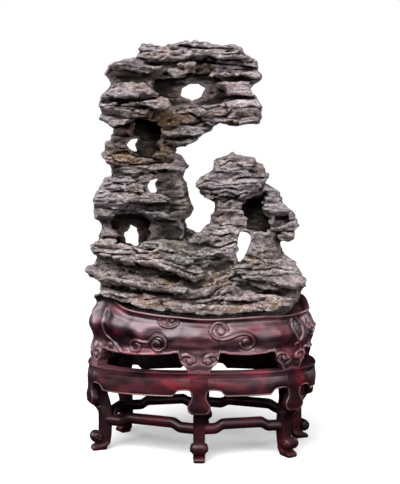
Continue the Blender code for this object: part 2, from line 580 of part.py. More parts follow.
def face_table(polygon):
    """A fine table of a polygon's signed distance over the face, and the function that reads it."""
    step = FACE_STEP
    us = np.arange(ROCK_LOW[0] - FACE_MARGIN, ROCK_HIGH[0] + FACE_MARGIN, step)
    ws = np.arange(ROCK_LOW[2] - FACE_MARGIN, ROCK_HIGH[2] + FACE_MARGIN, step)
    table = polygon_distance(polygon, *np.meshgrid(us, ws, indexing="ij"))

    def read(u, w):
        i = np.clip((u - us[0]) / step, 0.0, len(us) - 1.001)
        j = np.clip((w - ws[0]) / step, 0.0, len(ws) - 1.001)
        i0, j0 = i.astype(int), j.astype(int)
        i, j = i - i0, j - j0
        low = table[i0, j0] * (1 - i) + table[i0 + 1, j0] * i
        high = table[i0, j0 + 1] * (1 - i) + table[i0 + 1, j0 + 1] * i
        return low * (1 - j) + high * j
    return read


def to_world(u, w, y):
    """Where the face's point (u, w), in millimetres, lies at depth y, in metres."""
    reach = (y - EYE.y) / -EYE.y
    x = EYE.x + ((u + FACE_SHIFT_X) * MM - EYE.x) * reach
    z = EYE.z + ((w + FACE_SHIFT_Z) * MM - EYE.z) * reach
    return x, z


def slab(x, y, z, centre, radii, dip, power):
    """Distance-like field of a rounded slab, positive inside; dip lowers its right-hand end."""
    angle = math.radians(dip)
    dx, dy, dz = x - centre[0], y - centre[1], z - centre[2]
    along = dx * math.cos(angle) - dz * math.sin(angle)
    up = dx * math.sin(angle) + dz * math.cos(angle)
    flat = ((along / radii[0]) ** 2 + (dy / radii[1]) ** 2) ** (power / 2.0)
    shape = np.maximum((flat + np.abs(up / radii[2]) ** power) ** (1.0 / power), 1e-3)
    return np.sqrt(dx * dx + dy * dy + dz * dz) * (1.0 / shape - 1.0)


def lump_field(x, y, z, lump):
    u, w, half_u, half_w, face, dip = lump
    reach = (abs(face) + LUMP_ROOT) / 2.0 * MM
    middle = face * MM - math.copysign(reach, face)
    cx, cz = to_world(u, w, face * MM)
    return slab(x, y, z, (cx, middle, cz), (half_u * MM, reach, half_w * MM), dip, LUMP_POWER)


def hollow_field(x, y, z, hollow):
    u, w, half_u, half_w, middle, depth = hollow
    cx, cz = to_world(u, w, middle * MM)
    radii = (half_u * MM, depth * MM, half_w * MM)
    return slab(x, y, z, (cx, middle * MM, cz), radii, 0.0, HOLLOW_POWER)


def ledge_field(u, w, y, ledge):
    """A ledge: its outline runs back along the sight lines from its front face, to just behind y = 0."""
    face, rounding, outline = ledge
    inside = face_table(outline)(u, w)
    return smooth_min(inside, np.minimum(y - face * MM, LEDGE_BACK - y), rounding * MM)


def recess_field(u, w, y, recess):
    """A recess: everything within its outline in front of its floor."""
    floor, rounding, outline = recess
    inside = face_table(outline)(u, w)
    return smooth_min(inside, floor * MM - y, rounding * MM)


def seat_height(x, y):
    """Underside of the stone: a shallow keel that the cradle's basin repeats, and a level lip round it."""
    knots = np.array(LOWER_EDGE, float) * MM
    edge = np.interp(x, knots[:, 0] + FACE_SHIFT_X * MM, knots[:, 1] + KEEL_CLEARANCE)
    keel = SEAT_FLOOR + KEEL_RISE * (np.abs(x) / KEEL_REACH) ** 3
    return keel + (edge - keel) * np.minimum(np.abs(y) / SEAT_HALF, 1.0) ** 2


def rim_keep_out(x, y, z):
    """Field of the space that the cradle's rim takes, positive inside."""
    px = x - STAND_X
    ratio = (np.abs(px) / PLAN_HALF_X) ** PLAN_POWER + (np.abs(y) / PLAN_HALF_Y) ** PLAN_POWER
    ratio = ratio ** (1.0 / PLAN_POWER)
    inward = (1.0 - 1.0 / np.maximum(ratio, 0.1)) * np.hypot(px, y)
    knots = np.array(RIM_HEIGHT, float)
    rim = np.interp(np.degrees(np.arctan2(y, px)), knots[:, 0], knots[:, 1] * MM)
    return np.minimum(inward + RIM_REACH, rim + RIM_CLEARANCE - z)


def strata(x, y, z):
    """Layers of the stone: flat, a little wavy, each set in or out from the next, more so behind."""
    wave = LAYER_WAVE * lattice_noise(x / LAYER_WAVE_LENGTH, y / LAYER_WAVE_LENGTH, z / LAYER_WAVE_HEIGHT, 11)
    low = np.clip((DIP_TOP - z) / DIP_FADE_Z, 0.0, 1.0)
    left = np.clip((DIP_RIGHT - x) / DIP_FADE_X, 0.0, 1.0)
    level = z + wave + DIP * low * left * (x - DIP_PIVOT)
    beds = np.tanh(BED_SHARPNESS * lattice_noise(x / BED_LENGTH, y / BED_LENGTH, level / BED_HEIGHT, 23))
    lobes = lattice_noise(x / LOBE_LENGTH, y / LOBE_LENGTH, level / LOBE_HEIGHT, 37)
    behind = np.clip(0.5 + y / BED_LENGTH, 0.0, 1.0)
    total = 0.0
    for pattern, (front, back) in ((beds, BED_RELIEF), (lobes, LOBE_RELIEF)):
        total = total + (front + (back - front) * behind) * pattern
    return total


def core_field(x, y, z, w, edge):
    """The stone's core: a body of rounded edges, as deep as its height asks, inside the outline."""
    depth = np.interp(w / MM, *np.array(CORE_DEPTH, float).T) * MM
    rounding = 1.0 - np.clip(edge / EDGE_ROUNDING, 0.0, 1.0)
    middle = CORE_WANDER * lattice_noise(x / CORE_WANDER_LENGTH, 0.0 * y, z / CORE_WANDER_LENGTH, 5)
    return depth * np.sqrt(1.0 - rounding ** 2) - np.abs(y - middle)


def rock_field(x, y, z):
    """The whole stone as one field, positive inside."""
    reach = -EYE.y / (y - EYE.y)
    u = EYE.x + (x - EYE.x) * reach
    w = EYE.z + (z - EYE.z) * reach
    edge = face_table(OUTLINE)(u, w)
    field = core_field(x, y, z, w, edge)
    for lump in FRONT_LUMPS + BACK_LUMPS:
        field = smooth_max(field, lump_field(x, y, z, lump), JOIN_BLEND)
    for hollow in HOLLOWS:
        field = smooth_min(field, -hollow_field(x, y, z, hollow), CUT_BLEND)
    for ledge in LEDGES:
        field = smooth_max(field, ledge_field(u, w, y, ledge), JOIN_BLEND)
    for recess in RECESSES:
        field = smooth_min(field, -recess_field(u, w, y, recess), CUT_BLEND)
    seat = z - seat_height(x, y)
    fade = np.clip(np.maximum(seat, np.abs(y) - SEAT_HALF) / KEEL_FADE, 0.0, 1.0)
    field = field + strata(x, y, z) * fade
    flare = HOLE_FLARE * np.maximum(np.abs(y) - HOLE_STRAIGHT, 0.0)
    for hole in HOLES:
        field = smooth_min(field, -face_table(hole)(u, w) - flare, CUT_BLEND)
    field = smooth_min(field, edge, JOIN_BLEND)
    field = smooth_min(field, seat, SEAT_BLEND)
    return smooth_min(field, -rim_keep_out(x, y, z), JOIN_BLEND)


# ---------------------------------------------------------------- stone: surface
def tetrahedra():
    """Six equal-handed tetrahedra that fill a grid cell, as corner offsets."""
    steps = np.eye(3, dtype=int)
    result = []
    for a, b, c, even in ((0, 1, 2, 1), (1, 2, 0, 1), (2, 0, 1, 1), (0, 2, 1, 0), (2, 1, 0, 0), (1, 0, 2, 0)):
        first, second, last = steps[a], steps[a] + steps[b], np.array((1, 1, 1))
        corners = [np.zeros(3, int), first, second, last]
        if not even:
            corners[2], corners[3] = corners[3], corners[2]
        result.append(corners)
    return result


def corner_cases():
    """For each pattern of inside corners of a tetrahedron: its triangles, as pairs of corners."""
    cases = {}
    orders = {0: (1, 2, 3), 1: (0, 3, 2), 2: (0, 1, 3), 3: (0, 2, 1)}
    pairs = (((0, 1), (2, 3)), ((0, 2), (3, 1)), ((0, 3), (1, 2)),
             ((2, 3), (0, 1)), ((3, 1), (0, 2)), ((1, 2), (0, 3)))
    for a, (b, c, d) in orders.items():
        cases[1 << a] = [((a, b), (a, c), (a, d))]
        cases[15 ^ (1 << a)] = [((a, b), (a, d), (a, c))]
    for (a, b), (c, d) in pairs:
        quad = ((a, c), (a, d), (b, d), (b, c))
        cases[(1 << a) | (1 << b)] = [(quad[0], quad[1], quad[2]), (quad[0], quad[2], quad[3])]
    return cases


def read_surface(values, origin, step):
    """Closed triangles of the surface where a grid of values crosses zero."""
    size = values.shape
    flat = values.ravel()
    strides = np.array((size[1] * size[2], size[2], 1))
    inside = values > 0.0
    cells = np.zeros(tuple(n - 1 for n in size), np.int8)
    for i in (0, 1):
        for j in (0, 1):
            for k in (0, 1):
                cells += inside[i:size[0] - 1 + i, j:size[1] - 1 + j, k:size[2] - 1 + k]
    base = np.argwhere((cells > 0) & (cells < 8)) @ strides
    edges = []
    for corners in tetrahedra():
        ids = base[:, None] + np.array([c @ strides for c in corners])[None, :]
        mask = ((flat[ids] > 0.0) * np.array((1, 2, 4, 8))).sum(1)
        for pattern, triangles in corner_cases().items():
            chosen = ids[mask == pattern]
            for triangle in triangles:
                edges.append(np.stack([np.sort(chosen[:, list(pair)], axis=1) for pair in triangle], axis=1))
    edges = np.concatenate(edges)
    keys = edges[..., 0].astype(np.int64) * flat.size + edges[..., 1]
    unique, faces = np.unique(keys, return_inverse=True)
    a, b = unique // flat.size, unique % flat.size
    share = np.clip(flat[a] / (flat[a] - flat[b]), 0.08, 0.92)[:, None]
    grid = [np.stack(np.unravel_index(i, size), axis=1) * step + np.array(origin) for i in (a, b)]
    return grid[0] + (grid[1] - grid[0]) * share, faces.reshape(-1, 3)


def largest_piece(vertices, faces):
    """Drop crumbs: keep the one connected surface with the most triangles."""
    label = np.arange(len(vertices))
    while True:
        low = label[faces].min(axis=1)
        fresh = label.copy()
        for corner in range(3):
            np.minimum.at(fresh, faces[:, corner], low)
        fresh = fresh[fresh]
        if (fresh == label).all():
            break
        label = fresh
    names, counts = np.unique(label[faces[:, 0]], return_counts=True)
    faces = faces[label[faces[:, 0]] == names[counts.argmax()]]
    used, faces = np.unique(faces, return_inverse=True)
    return vertices[used], faces.reshape(-1, 3)


def make_rock(material):
    axes = [np.arange(low, high, ROCK_CELL) for low, high in zip(ROCK_LOW, ROCK_HIGH)]
    x, y, z = np.meshgrid(*axes, indexing="ij")
    vertices, faces = read_surface(rock_field(x, y, z), ROCK_LOW, ROCK_CELL)
    vertices, faces = largest_piece(vertices, faces)
    rock = add_object("rock", vertices.tolist(), faces.tolist(), material)
    thin = rock.modifiers.new("facets", "DECIMATE")
    thin.ratio = ROCK_TRIANGLES / len(faces)
    return rock


# ---------------------------------------------------------------- cradle
def rim_height(angle):
    knots = np.array(RIM_HEIGHT, float)
    degrees = (math.degrees(angle) + 180.0) % 360.0 - 180.0
    return float(np.interp(degrees, knots[:, 0], knots[:, 1] * MM))


def foot_distance(angle):
    """Distance round the plan to the nearest foot's middle."""
    here = plan_point(angle)
    return min((plan_point(math.radians(a)) - here).length for a in LEG_ANGLES)


def cradle_low_edge(angle):
    away = foot_distance(angle)
    share = (away - CRADLE_FOOT_HALF) / (CRADLE_FOOT_TOP_HALF - CRADLE_FOOT_HALF)
    return CRADLE_BASE + (CRADLE_UNDERSIDE - CRADLE_BASE) * min(max(share, 0.0), 1.0)


def cradle_angles():
    """Angles round the cradle: set at each foot's edges, and evenly spaced between feet."""
    result = []
    for index in range(len(LEG_ANGLES)):
        here, there = LegFrame(index).angle, LegFrame(index + 1).angle
        marks = [angle_at_distance(here, d) for d in (-CRADLE_FOOT_HALF, 0.0, CRADLE_FOOT_HALF)]
        leaving = angle_at_distance(here, CRADLE_FOOT_TOP_HALF)
        arriving = angle_at_distance(there, -CRADLE_FOOT_TOP_HALF)
        result += marks + plan_stations(leaving, arriving, 8)
    return result


def basin_point(angle, share, ceiling):
    """Point of the basin, at a share of the way from its middle to the rim's steep inner wall."""
    p = plan_offset(angle, RIM_OFFSET - RIM_WIDTH - RIM_WALL, 0.0)
    x = STAND_X + (p.x - STAND_X) * share
    y = p.y * share
    shelf = rim_height(angle) - RIM_DROP
    return Vector((x, y, min(shelf, ceiling(x, y))))


def stone_ceiling(rock):
    """A function that gives the lowest height of the stone near a point, less the clearance."""
    graph = bpy.context.evaluated_depsgraph_get()
    tree = BVHTree.FromObject(rock, graph)
    up = Vector((0.0, 0.0, 1.0))

    def lowest(x, y):
        found = float(seat_height(x, y))
        for dx in (-CEILING_SPREAD, 0.0, CEILING_SPREAD):
            for dy in (-CEILING_SPREAD, 0.0, CEILING_SPREAD):
                hit = tree.ray_cast(Vector((x + dx, y + dy, FRAME_TOP)), up)[0]
                if hit is not None:
                    found = min(found, hit.z)
        return found - SEAT_CLEARANCE
    return lowest


def make_cradle(rock, material):
    ceiling = stone_ceiling(rock)
    angles = cradle_angles()
    rings = []
    for share in BASIN_RINGS:
        rings.append([basin_point(a, share, ceiling) for a in angles])
    rings.append([plan_offset(a, RIM_OFFSET - RIM_WIDTH, rim_height(a) - RIM_ROUNDING) for a in angles])
    rings.append([plan_offset(a, RIM_OFFSET, rim_height(a)) for a in angles])
    for share, offset in CRADLE_SIDE:
        rings.append([side_point(a, share, offset * MM) for a in angles])
    rings.append([plan_offset(a, CRADLE_EDGE_OFFSET, cradle_low_edge(a)) for a in angles])
    inner = CRADLE_EDGE_OFFSET - CRADLE_FOOT_THICK
    rings.append([plan_offset(a, inner, cradle_low_edge(a)) for a in angles])
    rings.append([plan_offset(a, inner - FOOT_TAPER, CRADLE_UNDERSIDE) for a in angles])
    vertices, faces = disc_skin(rings, ceiling)
    cradle = add_object("cradle", vertices, faces, material)
    point_out(cradle)
    return cradle


def side_point(angle, share, offset):
    high = rim_height(angle)
    return plan_offset(angle, offset, high + (CRADLE_UNDERSIDE - high) * share)


def disc_skin(rings, ceiling):
    """Close a stack of rings at both ends with a fan to a middle point."""
    count = len(rings[0])
    vertices = [p for ring in rings for p in ring]
    faces = []
    for level in range(len(rings) - 1):
        low, high = level * count, (level + 1) * count
        for i in range(count):
            j = (i + 1) % count
            faces.append((low + i, low + j, high + j, high + i))
    vertices.append(Vector((STAND_X, 0.0, ceiling(STAND_X, 0.0))))
    vertices.append(Vector((STAND_X, 0.0, CRADLE_UNDERSIDE)))
    top, bottom, last = len(vertices) - 2, len(vertices) - 1, (len(rings) - 1) * count
    for i in range(count):
        j = (i + 1) % count
        faces.append((top, j, i))
        faces.append((bottom, last + i, last + j))
    return vertices, faces


# ---------------------------------------------------------------- whole object
def build():
    clear_scene()
    wood, stone = make_material(WOOD), make_material(STONE)
    rock = make_rock(stone)
    make_cradle(rock, wood)
    for index in range(len(LEG_ANGLES)):
        make_leg(index, wood)
        make_apron(index, wood)
        make_rail(index, wood)
        make_stretcher(index, wood)


build()
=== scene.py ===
import itertools
import json
import math

import bmesh
import bpy
import numpy as np
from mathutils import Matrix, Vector
from mathutils.bvhtree import BVHTree

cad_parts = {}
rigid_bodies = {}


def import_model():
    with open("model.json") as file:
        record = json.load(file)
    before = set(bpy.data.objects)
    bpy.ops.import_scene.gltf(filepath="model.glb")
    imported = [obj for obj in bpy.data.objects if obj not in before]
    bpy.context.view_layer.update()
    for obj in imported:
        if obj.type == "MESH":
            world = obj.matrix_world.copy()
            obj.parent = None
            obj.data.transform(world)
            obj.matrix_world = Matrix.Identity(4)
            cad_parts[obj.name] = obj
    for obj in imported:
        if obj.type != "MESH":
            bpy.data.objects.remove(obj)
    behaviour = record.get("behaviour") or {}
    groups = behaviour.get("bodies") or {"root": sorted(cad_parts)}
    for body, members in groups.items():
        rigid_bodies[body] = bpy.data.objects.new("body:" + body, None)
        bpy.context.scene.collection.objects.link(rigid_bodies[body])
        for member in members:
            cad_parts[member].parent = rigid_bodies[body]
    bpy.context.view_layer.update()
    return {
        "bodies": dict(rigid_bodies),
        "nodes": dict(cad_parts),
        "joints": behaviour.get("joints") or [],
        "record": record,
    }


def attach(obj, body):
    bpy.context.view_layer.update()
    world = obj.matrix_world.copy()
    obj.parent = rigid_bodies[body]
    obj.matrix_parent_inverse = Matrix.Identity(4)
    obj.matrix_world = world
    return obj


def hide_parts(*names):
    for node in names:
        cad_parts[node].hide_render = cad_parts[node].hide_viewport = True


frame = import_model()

# Scholar's rock in its carved cradle on an open hardwood stand: the looks. Metres, as in the frame.
# The stone is read from a field of ledges, hollows and strata on a fine grid, the wooden pieces are
# swept and lofted from their own sections, and every surface gets a procedural material.
MM = 0.001
CELL_CORNERS = tuple(itertools.product((0, 1), repeat=3))

# ---------------------------------------------------------------- sizes, in metres unless named
EYE = Vector((0.0055, -1.395, 0.400))   # where the camera stands; the face is drawn as seen from here
FACE_SHIFT = np.array((5.5, 6.0))       # millimetres, from the drawn face to the stand's own axes
FINE_CELL = 0.0017
ROCK_CELL = FINE_CELL
ROCK_TRIANGLES = 196000
ROCK_LOW = (-0.190, -0.112, 0.150)
ROCK_HIGH = (0.176, 0.112, 0.622)
BAND = 0.022                     # strata are worked out only this close to the plain surface
CORE_WANDER = 0.012
EDGE_ROUNDING = 0.044
SEAT_FLOOR = 0.168
SEAT_HALF = 0.058
KEEL_RISE = 0.060
KEEL_HALF = 0.160
KEEL_FADE = 0.012
LIP_RISE = 0.0015
LIP_TEARS = 0.0030
DRAWN_MARGIN = (0.014, 0.024)    # how far the grid is worked on before and past a drawn outline
LEDGE_BACK = 0.020
RECESS_BACK = 0.030
CAVE_FLOOR = -20                 # millimetres: recesses with a floor behind this are caves
CAVE_CALM = 0.55                 # share of the layers' relief that a cave's floor loses
CALM_EDGE = 0.004                # and how far inside its outline that is full
CREVICE_REACH = 0.006
CREVICE_WANDER = 0.0012
HOLE_FLARE = 0.08                # how fast a hole widens behind FLARE_START
FLARE_START = 0.020
HOLE_EASE = 0.0012               # added round a hole, for its ragged edge
HOLE_RAGGED = 0.6
EDGE_TRIM = 0.0008               # taken off the outline, so that its notches don't make it larger
JOIN_BLEND = 0.003
CUT_BLEND = 0.002
SEAT_BLEND = 0.004
# The plan that the stand follows.
STAND_X = 0.003
PLAN_HALF_X = 0.170
PLAN_HALF_Y = 0.106
PLAN_POWER = 2.4
RIM_REACH = 0.021
RIM_CLEARANCE = 0.002

CROWDING = (("tight", 2), ("near", 5), ("wide", 13))   # reach in fine cells
STONE_SHARP = 50.0               # degrees between faces that keep a crisp edge
FACE_STEP = 0.0015               # of a drawn outline's table
FACE_MIDDLE = -50                # millimetres, the depth at which soft places are drawn
LUMP_INSIDE = 12.0               # millimetres that a lump reaches past the middle
LUMP_POWER = 3.0
HOLLOW_POWER = 2.2

# Noises: size across, in depth and upward, and a seed.
BEDDING_WAVE = (0.11, 0.11, 0.20, 11)
BEDS = (0.060, 0.060, 0.0120, 23)
LOBES = (0.026, 0.026, 0.020, 37)
WIDE_WANDER = (0.034, 0.034, 0.03, 41)
FINE_WANDER = (0.009, 0.009, 0.009, 43)
LEAVES = (0.023, 0.023, 0.0052, 47)
FLAKES = (0.0088, 0.0088, 0.0046, 53)
GRAIN = (0.0046, 0.0046, 0.0040, 59)
SEAMS = (0.036, 0.036, 0.0070, 61)
LAYERING = (0.040, 0.040, 0.026, 67)
NOTCHES = (0.012, 0.03, 0.0042, 71)
TEETH = (0.005, 0.02, 0.0032, 73)
TORN_LIP = (0.014, 0.02, 1.0, 79)
STAINS = (0.05, 0.05, 0.022, 81)
LINE_WANDER = (0.011, 0.011, 1.0, 83)
CORE_WAVE = (0.13, 1.0, 0.13, 5)
WOOD_SWELL = (0.025, 0.025, 21.0, 91)
WOOD_DENTS = (0.014, 0.014, 13.0, 93)
# How far the bedding waves and tilts, and how sharply beds, leaves and seams are cut.
WAVE_HEIGHT = 0.006
TILT = 0.22
BED_CONTRAST = 2.6
LEAF_CONTRAST = 2.2
SEAM_WIDTH = 0.13
# Heights of the layers' relief; beds and lobes are bolder behind.
BED_HEIGHT = 0.0036
BED_HEIGHT_BEHIND = 0.0042
LOBE_HEIGHT = 0.0030
LOBE_HEIGHT_BEHIND = 0.0025
LEAF_HEIGHT = 0.0022
SEAM_DEPTH = 0.0046
FLAKE_HEIGHT = 0.0030
GRAIN_HEIGHT = 0.0013
NOTCH_DEPTH = 0.0020
TOOTH_DEPTH = 0.0014

# Outline of the stone's face, clockwise from the cap's left shoulder: x and z in millimetres.
OUTLINE = (
    (-98, 587), (-91, 595), (-80, 595), (-60, 592), (-50, 595), (-30, 598), (-25, 601), (-20, 597),
    (-12, 603), (-6, 598), (4, 598), (18, 594), (28, 593), (45, 596), (57, 588), (60, 581), (78, 570),
    (82, 563), (82, 554), (87, 550), (87, 541), (80, 537), (70, 530), (74, 522), (81, 518), (82, 512),
    (88, 504), (86, 491), (88, 486), (84, 477), (66, 478), (51, 473), (33, 477), (25, 478), (15, 474),
    (12, 468), (0, 463), (-5, 455), (-17, 449), (-26, 444), (-41, 443), (-41, 435), (-33, 432), (-20, 415),
    (-28, 406), (-30, 398), (-24, 388), (-21, 370), (-14, 351), (-18, 342), (-27, 332), (-24, 323),
    (-14, 319), (-6, 316), (0, 322), (10, 331), (11, 342), (17, 348), (17, 361), (5, 365), (-6, 373),
    (-5, 378), (-12, 382), (-11, 392), (-3, 401), (14, 410), (15, 422), (18, 426), (27, 428), (43, 438),
    (49, 433), (60, 430), (79, 429), (80, 421), (90, 418), (94, 407), (99, 404), (94, 391), (113, 378),
    (116, 372), (120, 358), (137, 345), (142, 330), (145, 326), (137, 318), (139, 312), (137, 305),
    (128, 301), (118, 302), (115, 299), (120, 286), (139, 272), (141, 265), (151, 249), (155, 244),
    (155, 235), (150, 229), (145, 219), (144, 211), (138, 206), (131, 195), (100, 170), (0, 150),
    (-110, 170), (-150, 205), (-154, 219), (-158, 230), (-155, 239), (-165, 246), (-173, 246), (-178, 256),
    (-177, 265), (-165, 267), (-160, 278), (-163, 281), (-171, 291), (-171, 297), (-158, 305), (-157, 312),
    (-153, 326), (-165, 338), (-165, 350), (-166, 366), (-157, 381), (-150, 398), (-138, 401), (-140, 414),
    (-154, 428), (-154, 435), (-149, 439), (-150, 448), (-139, 456), (-134, 470), (-148, 481), (-160, 484),
    (-153, 492), (-157, 507), (-152, 521), (-140, 531), (-139, 539), (-147, 550), (-140, 564), (-124, 572),
    (-101, 575), (-95, 584),
)
# Holes right through the stone, drawn on the same face.
HOLES = (
    ((-33, 520), (-31, 530), (-20, 536), (-8, 536), (1, 530), (-4, 518), (-17, 513)),
    ((-114, 447), (-109, 453), (-99, 455), (-104, 446), (-100, 436), (-110, 441)),
    ((-84, 384), (-79, 393), (-69, 396), (-74, 388), (-70, 376), (-80, 376)),
    ((-118, 311), (-118, 315), (-110, 320), (-109, 326), (-100, 321), (-98, 300), (-101, 296), (-116, 302)),
    ((56, 316), (66, 315), (71, 309), (70, 300), (62, 280), (54, 272), (49, 281), (54, 291), (51, 298)),
)
# Half depth of the stone's core, by height.
CORE_DEPTH = (
    (150, 74), (230, 72), (290, 56), (340, 44), (420, 38), (460, 38), (500, 46), (560, 48), (610, 34),
)
# Masses that the ledges lie on: x, z, half width, half height, y of the face, dip to the right in degrees.
FRONT_LUMPS = (
    (-20, 583, 85, 14, -50, 0), (-110, 560, 38, 15, -56, 0), (-40, 560, 50, 19, -60, 0),
    (45, 562, 42, 13, -54, 0), (-105, 522, 50, 13, -66, 0), (-120, 487, 38, 12, -56, 6),
    (45, 528, 38, 13, -50, 0), (35, 500, 52, 14, -56, 0), (42, 485, 45, 9, -52, 0),
    (-30, 465, 40, 8, -40, -8), (-125, 462, 16, 8, -40, 0), (-110, 425, 42, 12, -47, 0),
    (-80, 410, 55, 8, -50, 0), (-30, 415, 12, 12, -14, 0), (-125, 365, 42, 32, -58, 0),
    (-45, 365, 26, 50, -26, 0), (-145, 312, 14, 18, -42, 0), (-80, 277, 92, 15, -74, 14),
    (-110, 238, 60, 16, -76, 8), (-170, 256, 12, 8, -20, 0), (95, 254, 56, 21, -76, 4),
    (0, 208, 132, 13, -80, 0), (20, 245, 60, 18, -52, 0), (10, 298, 46, 13, -54, 4),
    (45, 415, 35, 17, -36, 0), (40, 388, 50, 20, -48, 0), (34, 345, 22, 32, -44, 0),
    (20, 318, 35, 12, -48, -6), (105, 350, 25, 30, -42, 0), (125, 320, 18, 18, -42, 0),
    (95, 295, 22, 20, -34, 0), (85, 405, 14, 16, -10, 0),
)
BACK_LUMPS = (
    (-20, 580, 80, 14, 55, 0), (-90, 545, 50, 18, 62, 0), (30, 540, 45, 16, 50, 0),
    (-60, 505, 60, 16, 66, 0), (40, 500, 40, 14, 48, 0), (-100, 470, 40, 14, 50, 0),
    (-60, 440, 50, 14, 48, 0), (-95, 400, 50, 18, 58, 0), (-60, 370, 40, 16, 45, 0),
    (-110, 335, 45, 20, 62, 0), (-120, 290, 45, 16, 72, 8), (-60, 285, 50, 14, 66, 0),
    (-40, 250, 100, 18, 84, 6), (70, 260, 65, 18, 80, 0), (20, 290, 50, 14, 64, 0),
    (95, 300, 30, 22, 48, 0), (40, 340, 30, 22, 44, 0), (60, 390, 45, 18, 46, 0), (105, 350, 22, 18, 40, 0),
    (0, 215, 130, 14, 84, 0),
)
# Hollows cut into the stone: x, z, half width, half height, y of its middle, half depth.
HOLLOWS = (
    (25, 268, 28, 28, -104, 46), (-156, 283, 9, 4, -30, 60), (102, 218, 30, 7, -92, 32),
    (-70, 218, 32, 7, -97, 24), (-40, 560, 35, 8, 76, 30), (60, 520, 25, 7, 70, 30),
    (-110, 518, 30, 6, 82, 32), (-30, 470, 35, 7, 66, 30), (-90, 423, 35, 6, 72, 30),
    (-70, 385, 22, 9, 66, 34), (-100, 312, 30, 12, 80, 42), (10, 265, 40, 9, 92, 34),
    (-90, 270, 45, 6, 96, 30), (80, 283, 30, 8, 86, 34), (30, 365, 30, 7, 62, 26),
    (90, 330, 16, 22, 66, 26),
)
# Ledges drawn on the face: y of the front, how round its edges are, outline.
LEDGES = (
    # The cap: top plate, second layer, left lobe, tongue.
    (-54, 5, ((-100, 589), (-80, 591), (-60, 595), (-34, 594), (0, 589), (24, 588), (60, 585), (60, 612),
        (-100, 612))),
    (-65, 5, ((-84, 583), (-55, 586), (0, 587), (28, 586), (32, 580), (60, 580), (72, 572), (22, 572),
        (3, 576), (-20, 571), (-45, 566), (-80, 568), (-96, 576))),
    (-70, 9, ((-148, 544), (-148, 557), (-140, 568), (-120, 576), (-100, 577), (-75, 566), (-74, 552),
        (-100, 550), (-118, 555), (-138, 556), (-142, 544))),
    (-71, 6, ((-80, 564), (-54, 565), (-24, 569), (-14, 560), (-13, 551), (-25, 545), (-42, 544),
        (-53, 552), (-78, 553))),
    # Its right side: shelf, nodule, two blocks.
    (-66, 4, ((-8, 551), (10, 556), (55, 554), (87, 557), (89, 545), (76, 543), (54, 549), (20, 547),
        (-6, 547))),
    (-60, 5, ((56, 572), (80, 572), (84, 558), (66, 556), (56, 562))),
    (-62, 6, ((20, 538), (40, 541), (70, 540), (70, 529), (86, 519), (60, 517), (34, 519), (28, 530))),
    (-70, 8, ((28, 509), (48, 516), (84, 515), (90, 504), (87, 492), (90, 486), (82, 477), (48, 474),
        (24, 480), (38, 492), (38, 502))),
    # Its left side: broad plate, the lip under it, the pointed block.
    (-80, 5, ((-158, 504), (-155, 520), (-138, 532), (-118, 538), (-94, 540), (-76, 533), (-66, 520),
        (-96, 515), (-136, 514))),
    (-86, 4, ((-138, 511), (-96, 511), (-66, 520), (-52, 519), (-50, 510), (-58, 501), (-72, 501),
        (-86, 507), (-136, 507))),
    (-77, 6, ((-162, 484), (-150, 498), (-110, 499), (-82, 497), (-80, 486), (-96, 485), (-116, 477),
        (-134, 472), (-146, 479))),
    (-51, 6, ((-138, 461), (-130, 470), (-108, 470), (-106, 459), (-128, 457))),
    # Thin slabs under the cap.
    (-54, 4, ((-60, 463), (-44, 468), (-4, 474), (6, 462), (-12, 459), (-44, 459))),
    (-48, 4, ((-69, 448), (-50, 455), (-14, 456), (-8, 449), (-32, 445), (-60, 445))),
    # The column: left mass, bright ledge, drooping ledge, cave's post.
    (-71, 11, ((-167, 350), (-166, 370), (-157, 385), (-140, 396), (-104, 396), (-86, 386), (-86, 372),
        (-112, 362), (-122, 350), (-132, 338), (-150, 330), (-164, 336))),
    (-78, 5, ((-116, 362), (-100, 367), (-84, 376), (-60, 374), (-49, 366), (-50, 359), (-76, 358),
        (-96, 361))),
    (-74, 5, ((-126, 344), (-112, 353), (-88, 351), (-60, 346), (-49, 340), (-52, 334), (-76, 333),
        (-98, 341))),
    (-48, 7, ((-156, 304), (-154, 326), (-144, 332), (-134, 330), (-132, 306))),
    # The tower: peak, right arm, knob, front slab.
    (-56, 8, ((-14, 385), (-10, 398), (12, 408), (14, 424), (30, 427), (42, 438), (80, 428), (70, 404),
        (88, 384), (56, 366), (30, 372), (6, 366), (-10, 376))),
    (-54, 8, ((90, 384), (112, 378), (122, 358), (144, 332), (140, 318), (118, 320), (104, 322),
        (98, 336), (92, 356))),
    (-48, 7, ((112, 316), (126, 320), (140, 312), (136, 302), (116, 302))),
    (-58, 5, ((-32, 308), (-10, 320), (16, 322), (50, 318), (56, 304), (30, 300), (8, 296), (-20, 298))),
    # The base: sweeping slab, left tip, low plates, right mass.
    (-89, 6, ((-172, 297), (-155, 293), (-125, 294), (-102, 297), (-80, 301), (-64, 297), (-48, 289),
        (-35, 278), (-20, 270), (-5, 262), (3, 252), (2, 242), (-6, 236), (-20, 239), (-35, 250),
        (-50, 257), (-73, 265), (-96, 266), (-125, 271), (-142, 279), (-163, 287))),
    (-30, 5, ((-180, 258), (-166, 268), (-150, 264), (-150, 250), (-170, 248))),
    (-86, 5, ((-158, 243), (-128, 244), (-92, 240), (-60, 238), (-24, 232), (-30, 222), (-62, 220),
        (-96, 224), (-130, 230))),
    (-84, 8, ((38, 262), (60, 272), (84, 276), (120, 274), (150, 250), (156, 238), (140, 230), (96, 240),
        (60, 246))),
    (-86, 5, ((10, 216), (30, 222), (70, 224), (110, 220), (126, 216), (90, 208), (30, 204))),
    # The lip all along its lower edge.
    (-90, 4, ((-158, 232), (-128, 224), (-96, 214), (-40, 210), (30, 206), (96, 209), (132, 214),
        (136, 180), (-150, 180))),
)
